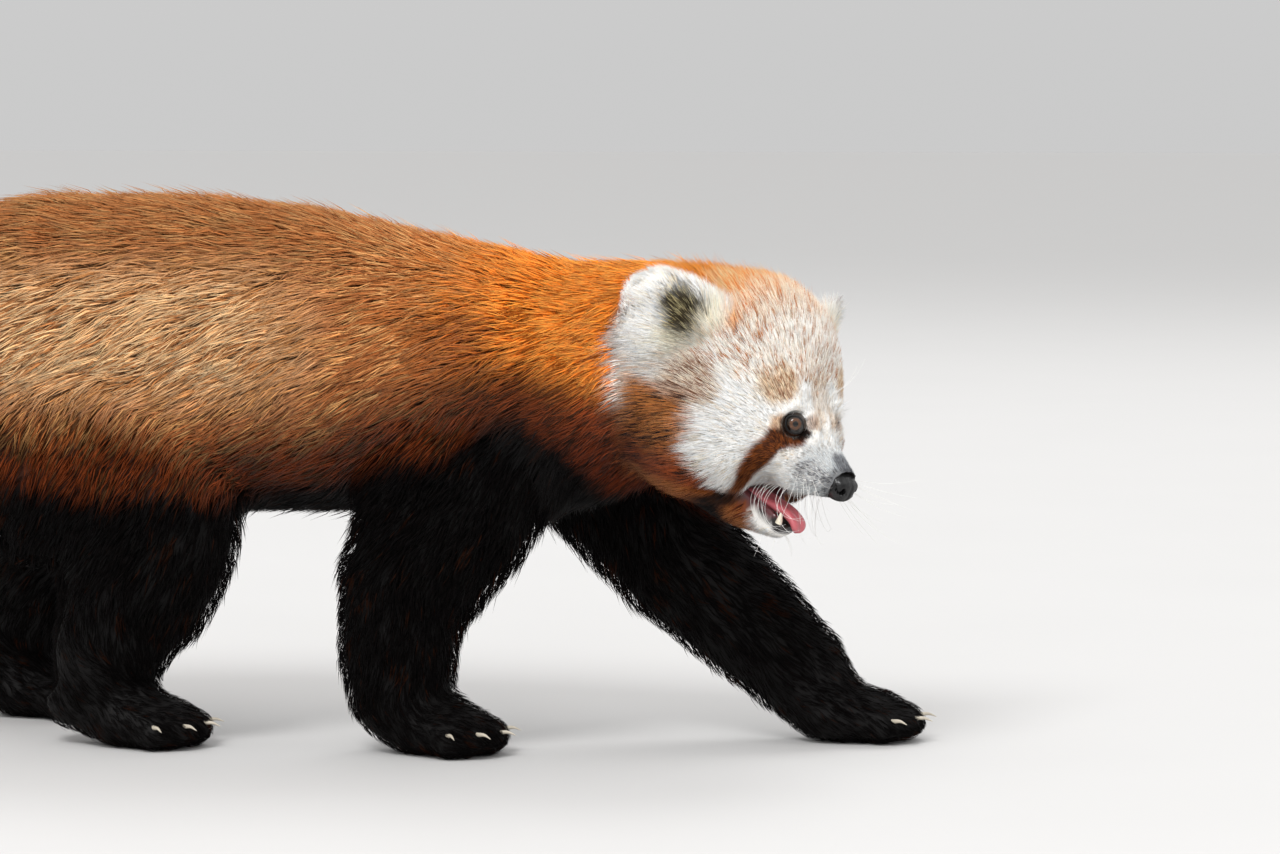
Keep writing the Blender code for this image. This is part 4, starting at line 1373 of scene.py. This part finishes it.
def grow_coat(skin, name, coat, materials):
    """Grows one piece of the coat over its strips of the skin, with random draws of its own."""
    strips, count, slot, finish = COAT_PIECES[name]
    rng = np.random.default_rng([SEED, len(name), count, ord(name[-2])])
    owners = owners_of(skin)
    bent = slot not in ("face_coat", "ear_coat")
    count = int(count * coat.amount * (1.0))
    parts = []
    for number, nodes in enumerate(strips):
        chosen = np.nonzero(np.isin(owners, nodes))[0]
        picked, shares = scattered(skin, chosen, count // len(strips), rng)
        line, under, lock = tuft_lines(skin, picked, shares, LOCK_SIZES[bent], coat, rng)
        bare = skin.bare[skin.triangles[under]].max(axis=1) > 0.2
        seen = np.where(bare | (slot == "ear_coat"), picked, under)
        at = unrolled(line[0], strip_axis(nodes), number, len(strips))
        parts.append((tuft_places(bent, *line), tuft_colours(bent, skin, seen, lock, rng), at))
    places, colours, at = (np.concatenate(rows) for rows in zip(*parts))
    new_piece(name, tuft_mesh(name, places, colours, at), materials[finish], slot)


# The face, the claws and the whiskers


def ball_rows(middle, radius, pole, side, rings=40, around=56):
    """Rings of places on a ball from one pole to the other, and the directions to them."""
    third = np.cross(pole, side)
    angles = np.linspace(0.03, math.pi - 0.03, rings)
    turns = np.linspace(0, 2 * math.pi, around, endpoint=False)
    across = np.cos(turns)[None, :, None] * side + np.sin(turns)[None, :, None] * third
    rows = np.cos(angles)[:, None, None] * pole + np.sin(angles)[:, None, None] * across
    return middle + radius * rows, rows


def make_eye(side, material):
    """A wet eyeball with its cornea bulging over the iris."""
    middle = box_middle(f"eye_{side}")
    gaze = unit(sided(GAZE, side)) @ HEAD_AXES
    across = unit(np.cross(gaze, HEAD_AXES[2]))
    rows, directions = ball_rows(middle, EYE_RADIUS * MM, gaze, across)
    bulge = CORNEA_BULGE * MM * ramp(np.degrees(np.arccos(np.clip(directions @ gaze, -1, 1))), 44, 20)
    rows = rows + directions * bulge[..., None]
    places, triangles = surface(rows)
    mesh = outwards(mesh_of(f"eyeball_{side}", places, triangles))
    flat = (places - middle) / (EYE_RADIUS * MM)
    iris = np.column_stack([flat @ across, flat @ np.cross(gaze, across), 0 * flat[:, 0]])
    iris[flat @ gaze < 0] = (1.0, 0.0, 0.0)
    layer = mesh.attributes.new("Iris", "FLOAT_VECTOR", "POINT")
    layer.data.foreach_set("vector", iris.astype(np.float32).ravel())
    new_piece(f"eyeball_{side}", mesh, material, "eye", f"eye_{side}")


def make_lids(side, material):
    """The black rim of the lids, drawn out to the inner corner."""
    middle = box_middle(f"eye_{side}")
    gaze = unit(sided(LIDS_FACE, side)) @ HEAD_AXES
    inner = HEAD_AXES[0] - gaze * (HEAD_AXES[0] @ gaze)
    inner = unit(inner - 0.35 * HEAD_AXES[2])
    above = np.cross(inner, gaze)
    above = above if above @ HEAD_AXES[2] > 0 else -above
    around, sides = 64, 12
    rings = []
    for turn in np.linspace(0, 2 * math.pi, around, endpoint=False):
        towards = math.cos(turn)
        wide = LIDS_WIDE + LIDS_INNER * max(0.0, towards) ** 6 + LIDS_OUTER * max(0.0, -towards) ** 8
        tall = LIDS_ABOVE if math.sin(turn) > 0 else LIDS_BELOW
        opening = math.radians(math.hypot(wide * towards, tall * math.sin(turn)))
        radial = inner * towards + above * math.sin(turn)
        direction = gaze * math.cos(opening) + unit(radial) * math.sin(opening)
        outward = unit(radial) * math.cos(opening) - gaze * math.sin(opening)
        centre = middle + direction * (EYE_RADIUS + 0.05) * MM
        thick, broad = direction * LIDS_THICK * MM, outward * LIDS_BROAD * MM
        steps = np.linspace(0, 2 * math.pi, sides, endpoint=False)
        rings.append([centre + thick * math.cos(step) + broad * math.sin(step) for step in steps])
    rows = np.array(rings)
    index = np.arange(around * sides).reshape(around, sides)
    nxt, beside = np.roll(index, -1, axis=0), np.roll(index, -1, axis=1)
    both = np.roll(nxt, -1, axis=1)
    triangles = np.concatenate([np.stack([index, beside, both], -1), np.stack([index, both, nxt], -1)])
    mesh = outwards(mesh_of(f"lids_{side}", rows.reshape(-1, 3), triangles.reshape(-1, 3)))
    new_piece(f"lids_{side}", mesh, material, "nose_skin")


def make_nose(material):
    """The nose pad: broad on top, with nostrils, their side slits, and a groove down its middle."""
    _, rows = ball_rows(np.zeros(3), 1.0, np.array([1.0, 0, 0]), np.array([0.0, 1, 0]), 72, 112)
    ahead, aside, up = np.moveaxis(rows, -1, 0)
    half = np.stack([ahead, np.abs(aside), up], -1)
    shape = np.sign(rows) * np.abs(rows) ** NOSE_SQUARENESS * np.array(NOSE_RADII)
    shape[..., 1] *= 1 - 0.30 * ramp(-up, 0.0, 0.9)
    shape[..., 0] -= NOSE_SLOPE * ramp(up, 0.0, 1.0)
    push = np.zeros_like(ahead)
    for middle, reach, deep in NOSTRIL:
        away = np.linalg.norm(half - np.array(middle), axis=-1)
        push = np.minimum(push, -deep * ramp(away, reach, 0.3 * reach))
    wing = np.linalg.norm(half - np.array([0.72, 0.62, 0.22]), axis=-1)
    push += 0.5 * ramp(wing, 0.35, 0.0)
    groove = ramp(np.abs(aside), 0.10, 0.0) * ramp(up, 0.30, -0.1) * ramp(ahead, 0.1, 0.4)
    push -= 0.9 * groove
    shape = shape + rows * push[..., None]
    places, triangles = surface(from_head(shape + np.array(NOSE_PAD_AT)))
    mesh = outwards(mesh_of("nose_pad", places, triangles))
    new_piece("nose_pad", mesh, material, "nose_skin", "nose")


def make_tongue(material):
    """The tongue: a rounded slab with a groove along its middle, over the lower lip."""
    rings = []
    rows = spline(TONGUE, 8)
    last = len(rows) - 1
    runs = unit(np.gradient(rows[:, :2], axis=0))
    for i, ((ahead, up, wide, deep), (run_ahead, run_up)) in enumerate(zip(rows, runs)):
        taper = math.sqrt(max(0.02, 1 - max(0.0, (i - last + 7) / 7.4) ** 2))
        ring = []
        for turn in np.linspace(0, 2 * math.pi, 40, endpoint=False):
            aside, lift = wide * taper * math.cos(turn), deep * taper**0.5 * math.sin(turn)
            lift += TONGUE_CURL * (abs(math.cos(turn)) ** 2) * taper
            if math.sin(turn) > 0:
                lift -= GROOVE_DEPTH * math.exp(-((aside / GROOVE_WIDTH) ** 2)) * taper
            ring.append((ahead - run_up * lift, aside, up + run_ahead * lift))
        rings.append(ring)
    places, triangles = surface(from_head(np.array(rings)))
    mesh = outwards(mesh_of("tongue_slab", places, triangles))
    new_piece("tongue_slab", mesh, material, "tongue", "tongue")


# The inputs of the tree that makes strands, and their kinds
STRAND_INPUTS = {
    "Root radius": "Float",
    "Tip share": "Float",
    "Taper power": "Float",
    "Sides": "Int",
    "Points": "Int",
    "Material": "Material",
}


def strand_tree():
    """Geometry nodes that give each line of a mesh a tapered round body."""
    tree = bpy.data.node_groups.new("Tapered strands", "GeometryNodeTree")
    tree.interface.new_socket("Geometry", in_out="INPUT", socket_type="NodeSocketGeometry")
    for name, kind in STRAND_INPUTS.items():
        tree.interface.new_socket(name, in_out="INPUT", socket_type=f"NodeSocket{kind}")
    tree.interface.new_socket("Geometry", in_out="OUTPUT", socket_type="NodeSocketGeometry")

    def maths(operation, first, second):
        """The result of a Math node."""
        return add_node(tree, "ShaderNodeMath", {0: first, 1: second}, operation=operation)[0]

    given = add_node(tree, "NodeGroupInput")
    lines = add_node(tree, "GeometryNodeMeshToCurve", {"Mesh": given["Geometry"]})[0]
    even = add_node(tree, "GeometryNodeResampleCurve", {"Curve": lines, "Count": given["Points"]})[0]
    share = add_node(tree, "GeometryNodeSplineParameter")["Factor"]
    power = maths("POWER", share, given["Taper power"])
    lost = maths("MULTIPLY", power, maths("SUBTRACT", 1.0, given["Tip share"]))
    radius = maths("MULTIPLY", maths("SUBTRACT", 1.0, lost), given["Root radius"])
    profile = {"Resolution": given["Sides"], "Radius": 1.0}
    circle = add_node(tree, "GeometryNodeCurvePrimitiveCircle", profile)[0]
    sweep = {"Curve": even, "Profile Curve": circle, "Scale": radius, "Fill Caps": True}
    body = add_node(tree, "GeometryNodeCurveToMesh", sweep)[0]
    smooth = add_node(tree, "GeometryNodeSetShadeSmooth", {"Geometry": body})[0]
    real = add_node(tree, "GeometryNodeRealizeInstances", {"Geometry": smooth})[0]
    finish = {"Geometry": real, "Material": given["Material"]}
    last = add_node(tree, "GeometryNodeSetMaterial", finish)[0]
    add_node(tree, "NodeGroupOutput", {"Geometry": last})
    return tree


def strands(name, lines, material, slot, body, replaced=()):
    """A piece of tapered strands along some lines of places.

    body gives the root's radius, the tip's share of it, the taper's power, the sides and the points.
    """
    mesh = bpy.data.meshes.new(name)
    places = [tuple(place) for line in lines for place in line]
    edges, start = [], 0
    for line in lines:
        edges += [(start + i, start + i + 1) for i in range(len(line) - 1)]
        start += len(line)
    mesh.from_pydata(places, edges, [])
    obj = put_in_scene("working", mesh)
    modifier = obj.modifiers.new("Strands", "NODES")
    modifier.node_group = bpy.data.node_groups.get("Tapered strands") or strand_tree()
    inputs = dict(zip(STRAND_INPUTS, (*body, material)))
    for item in modifier.node_group.interface.items_tree:
        if item.in_out == "INPUT" and item.name in inputs:
            modifier[item.identifier] = inputs[item.name]
    obj.update_tag()
    new_piece(name, outwards(applied(obj)), material, slot, *replaced)


def claw_line(node):
    """A claw's middle line, from its root in the toe to its tip, read from its node."""
    places = read(NODES[node].data.vertices, "co")
    paw = box_middle(node.rsplit("_claw", 1)[0] + "_paw")
    away = np.linalg.norm((places - paw)[:, :2], axis=1)
    order = np.argsort(away)
    quarter = max(3, len(order) // 4)
    root, tip = places[order[:quarter]].mean(axis=0), places[order[-quarter:]].mean(axis=0)
    middle = (root + tip) / 2 + np.array([0, 0, 0.9 * MM])
    return spline([root - unit(middle - root) * 1.5 * MM, root, middle, tip], 5)


def arc_line(start, ahead, bend, span, turn, points=14):
    """A line of places in head axes that leaves start and turns steadily towards bend."""
    ahead = unit(np.array(ahead, float))
    bend = np.array(bend, float)
    bend = unit(bend - ahead * (bend @ ahead))
    place, line = np.array(start, float), []
    step = span / (points - 1)
    for i in range(points):
        line.append(place.copy())
        angle = turn * i / (points - 1)
        place = place + step * (ahead * math.cos(angle) + bend * math.sin(angle))
    return from_head(line)


# Each side's whiskers: rows and columns on the lip, hairs looped over the mouth's corner, and those of
# the brow and the chin
LIP_ROWS, LIP_COLUMNS, LOOPED_HAIRS, BROW_HAIRS, CHIN_HAIRS = 3, 4, 11, 2, 3


def right_whiskers(rng):
    """Each whisker of the right side: start, direction, direction of its bend, length and turn."""
    for row in range(LIP_ROWS):
        for column in range(LIP_COLUMNS):
            start = (-9 - 3.4 * column, 11.5 + 1.2 * column, -1.0 - 3.4 * row)
            ahead = np.array([0.9 - 0.12 * column, 0.55, -0.25 - 0.25 * row]) + rng.normal(0, 0.12, 3)
            yield start, ahead, (0.3, 0.3, 1.0), rng.uniform(26, 44), rng.uniform(0.2, 0.7)
    for i in range(LOOPED_HAIRS):
        start = (-22 - 1.9 * i, 15.2, -9.5 - 0.4 * i)
        ahead = np.array([-0.45, 0.45, -0.8]) + rng.normal(0, 0.14, 3)
        yield start, ahead, (0.75, -0.45, -0.1), rng.uniform(24, 46), rng.uniform(1.9, 3.4)
    for i in range(BROW_HAIRS):
        yield (-33 - 2 * i, 12 + 4 * i, 37), (0.6, 0.2, 0.6), (-0.5, 0.2, 0.7), 20 + 5 * i, 0.9
    for i in range(CHIN_HAIRS):
        yield (-30 - 3 * i, 5 + 2 * i, -40), (0.5, 0.5, -0.7), (-0.6, 0, -0.6), 10 + 2 * i, 0.5


def whisker_lines(rng):
    """Whiskers on the lips, brows and chin, some curled over the open mouth's corner."""
    return [
        arc_line(sided(start, side), sided(ahead, side), sided(bend, side), span, turn)
        for side in SIDES
        for start, ahead, bend, span, turn in right_whiskers(rng)
    ]


def tooth_lines():
    """The lower canines, from inside the jaw to their tips."""
    start, ahead = (CANINE_AT[0] - 0.2, CANINE_AT[1], LIP_TOP - 1), (0.14, 0.0, 1.0)
    return [
        arc_line(sided(start, side), sided(ahead, side), (-1.0, 0, 0), CANINE_LENGTH, 0.5, 8)
        for side in SIDES
    ]


# The stage

# Each light's place, its disk's size in metres and its power in watts
LIGHTS = {
    "key": ((-0.75, -3.75, 4.15), 2.2, 180.0),
    "fill": ((1.0, -5.1, 1.5), 3.4, 78.0),
    "rim": ((0.6, 3.1, 4.0), 2.4, 70.0),
}
# The points that the lights and the camera look at
LIGHTS_FACE = Vector((0.1, 0.0, 0.15))
CAMERA_FACES = Vector((0.2908, -0.0272, 0.171))
SENSOR_WIDTH = 36.0
FLOOR_REACH = 30.0
# How far up the sky, from 0 to 1, it is at its brightest
SKY_TOP = 0.4


def make_floor(stage):
    """The wide pale floor."""
    side = FLOOR_REACH
    corners = np.array([(-side, -side, 0), (side, -side, 0), (side, side, 0), (-side, side, 0)])
    mesh = mesh_of("floor", corners, np.array([(0, 1, 2), (0, 2, 3)]))
    mesh.materials.append(floor_material(stage.floor))
    put_in_scene("floor", mesh)


def make_sky(stage):
    """An even sky, a little darker towards the horizon."""
    world = bpy.data.worlds.new("studio")
    world.use_nodes = True
    tree = world.node_tree
    sight = add_node(tree, "ShaderNodeTexCoord")
    split = add_node(tree, "ShaderNodeSeparateXYZ", {0: sight["Generated"]})
    light = {"Value": split["Z"], "From Max": SKY_TOP, "To Min": stage.horizon, "To Max": 1.0}
    mix = add_node(tree, "ShaderNodeMapRange", light, interpolation_type="SMOOTHSTEP")
    tree.links.new(mix["Result"], tree.nodes["Background"].inputs["Color"])
    bpy.context.scene.world = world


def aim(obj, away):
    """Turns a light or the camera so that it looks against the given direction."""
    obj.rotation_euler = (-away).to_track_quat("-Z", "Y").to_euler()


def make_lights():
    """Three soft round lights. Only the key light shows in wet surfaces."""
    for name, (place, size, power) in LIGHTS.items():
        light = bpy.data.lights.new(name, "AREA")
        light.shape, light.size, light.energy = "DISK", size, power
        obj = put_in_scene(name, light)
        obj.location = place
        aim(obj, Vector(place) - LIGHTS_FACE)
        obj.visible_glossy = name == "key"


def make_camera(scene, stage):
    """The camera at the photo's viewing angle."""
    back = Vector((
        math.sin(stage.turn) * math.cos(stage.rise),
        -math.cos(stage.turn) * math.cos(stage.rise),
        math.sin(stage.rise),
    ))
    data = bpy.data.cameras.new("camera")
    data.sensor_width, data.lens = SENSOR_WIDTH, stage.lens
    obj = put_in_scene("camera", data)
    obj.location = CAMERA_FACES + back * stage.distance
    aim(obj, back)
    scene.camera = obj


# Operators


class PANDA_OT_skin(bpy.types.Operator):
    """Make the one skin that stands for all the nodes of flesh"""

    bl_idname = "panda.skin"
    bl_label = "Skin"

    def execute(self, context):
        Skin.made = Skin(context.scene.panda_coat.voxel)
        skin = Skin.made
        # The skin is painted with the marks, darkened as painted shade under the fur except where it is
        # bare.
        blended = skin.marks.hair + (skin.marks.fleck - skin.marks.hair) * skin.marks.chance
        under_fur_shade = 0.95 * under_shade(blended)
        shaded = blended * (under_fur_shade + (1 - under_fur_shade) * skin.bare[:, None])
        paint(skin.mesh, "Coat", shaded)
        layer = skin.mesh.attributes.new("Bare", "FLOAT", "POINT")
        layer.data.foreach_set("value", skin.bare.astype(np.float32))
        skin.mesh.shade_smooth()
        new_piece("skin", skin.mesh, skin_material(), "rust_coat", *FLESH)
        return {"FINISHED"}


class PANDA_OT_coat(bpy.types.Operator):
    """Grow the coat of mesh tufts over the skin"""

    bl_idname = "panda.coat"
    bl_label = "Coat"

    def execute(self, context):
        if Skin.made is None:
            raise RuntimeError("the skin is made before the coat")
        materials = {
            "white": coat_material("white_hair", 0.7, 0.14, 0.02),
            "rust": coat_material("rust_hair", 0.6, 0.12, 0.03),
            "black": coat_material("black_hair", 0.62, 0.05, 0.0),
        }
        for name in COAT_PIECES:
            grow_coat(Skin.made, name, context.scene.panda_coat, materials)
        return {"FINISHED"}


class PANDA_OT_eyes(bpy.types.Operator):
    """Make the eyeballs and the black rims of their lids"""

    bl_idname = "panda.eyes"
    bl_label = "Eyes"

    def execute(self, context):
        face = context.scene.panda_face
        wet, rim = eye_material(face.iris), nose_material("lid_rim_skin", face.nose, 0.1)
        for side in SIDES:
            make_eye(side, wet)
            make_lids(side, rim)
        return {"FINISHED"}


class PANDA_OT_nose(bpy.types.Operator):
    """Make the nose pad"""

    bl_idname = "panda.nose"
    bl_label = "Nose"

    def execute(self, context):
        make_nose(nose_material("wet_nose_skin", context.scene.panda_face.nose, 0.45))
        return {"FINISHED"}


class PANDA_OT_mouth(bpy.types.Operator):
    """Make the tongue and the teeth"""

    bl_idname = "panda.mouth"
    bl_label = "Mouth"

    def execute(self, context):
        make_tongue(tongue_material(context.scene.panda_face.tongue))
        ivory = horn_material("ivory_tooth", linear(236, 226, 204))
        strands("teeth", tooth_lines(), ivory, "claw", (CANINE_RADIUS * MM, 0.2, 1.8, 16, 12))
        return {"FINISHED"}


class PANDA_OT_claws(bpy.types.Operator):
    """Make the twenty claws"""

    bl_idname = "panda.claws"
    bl_label = "Claws"

    def execute(self, context):
        horn = horn_material("pale_horn", context.scene.panda_face.claw)
        nodes = [f"{leg}_claw_{number}" for leg in LEGS for number in range(1, 6)]
        lines = [claw_line(node) for node in nodes]
        strands("claws", lines, horn, "claw", (CLAW_RADIUS * MM, 0.1, 1.5, 14, 14), nodes)
        return {"FINISHED"}


class PANDA_OT_whiskers(bpy.types.Operator):
    """Make the white whiskers"""

    bl_idname = "panda.whiskers"
    bl_label = "Whiskers"

    def execute(self, context):
        lines = whisker_lines(np.random.default_rng(SEED))
        radius = context.scene.panda_face.whisker
        strands("whiskers", lines, whisker_material(), "face_coat", (radius, 0.25, 1.0, 5, 16))
        return {"FINISHED"}


class PANDA_OT_stage(bpy.types.Operator):
    """Set out the floor, the soft lights and the camera"""

    bl_idname = "panda.stage"
    bl_label = "Stage"

    def execute(self, context):
        stage = context.scene.panda_stage
        make_floor(stage)
        make_sky(stage)
        make_lights()
        make_camera(context.scene, stage)
        context.scene.view_settings.view_transform = "Standard"
        return {"FINISHED"}


class PANDA_PT_panel(bpy.types.Panel):
    """Lists the operators that build the red panda"""

    bl_label = "Red Panda"
    bl_idname = "PANDA_PT_panel"
    bl_space_type = "VIEW_3D"
    bl_region_type = "UI"
    bl_category = "Red Panda"

    def draw(self, context):
        for operator in OPERATORS:
            self.layout.operator(operator.bl_idname)


SETTINGS = {
    "panda_coat": PandaCoatSettings,
    "panda_face": PandaFaceSettings,
    "panda_stage": PandaStageSettings,
}
OPERATORS = (
    PANDA_OT_stage,
    PANDA_OT_skin,
    PANDA_OT_coat,
    PANDA_OT_eyes,
    PANDA_OT_nose,
    PANDA_OT_mouth,
    PANDA_OT_claws,
    PANDA_OT_whiskers,
)


def register():
    for cls in (*SETTINGS.values(), *OPERATORS, PANDA_PT_panel):
        bpy.utils.register_class(cls)
    for name, settings in SETTINGS.items():
        setattr(bpy.types.Scene, name, PointerProperty(type=settings))


def unregister():
    for name in SETTINGS:
        delattr(bpy.types.Scene, name)
    for cls in reversed((*SETTINGS.values(), *OPERATORS, PANDA_PT_panel)):
        bpy.utils.unregister_class(cls)


def main():
    register()
    for operator in OPERATORS:
        group, name = operator.bl_idname.split(".")
        getattr(getattr(bpy.ops, group), name)()


if __name__ == "__main__":
    main()
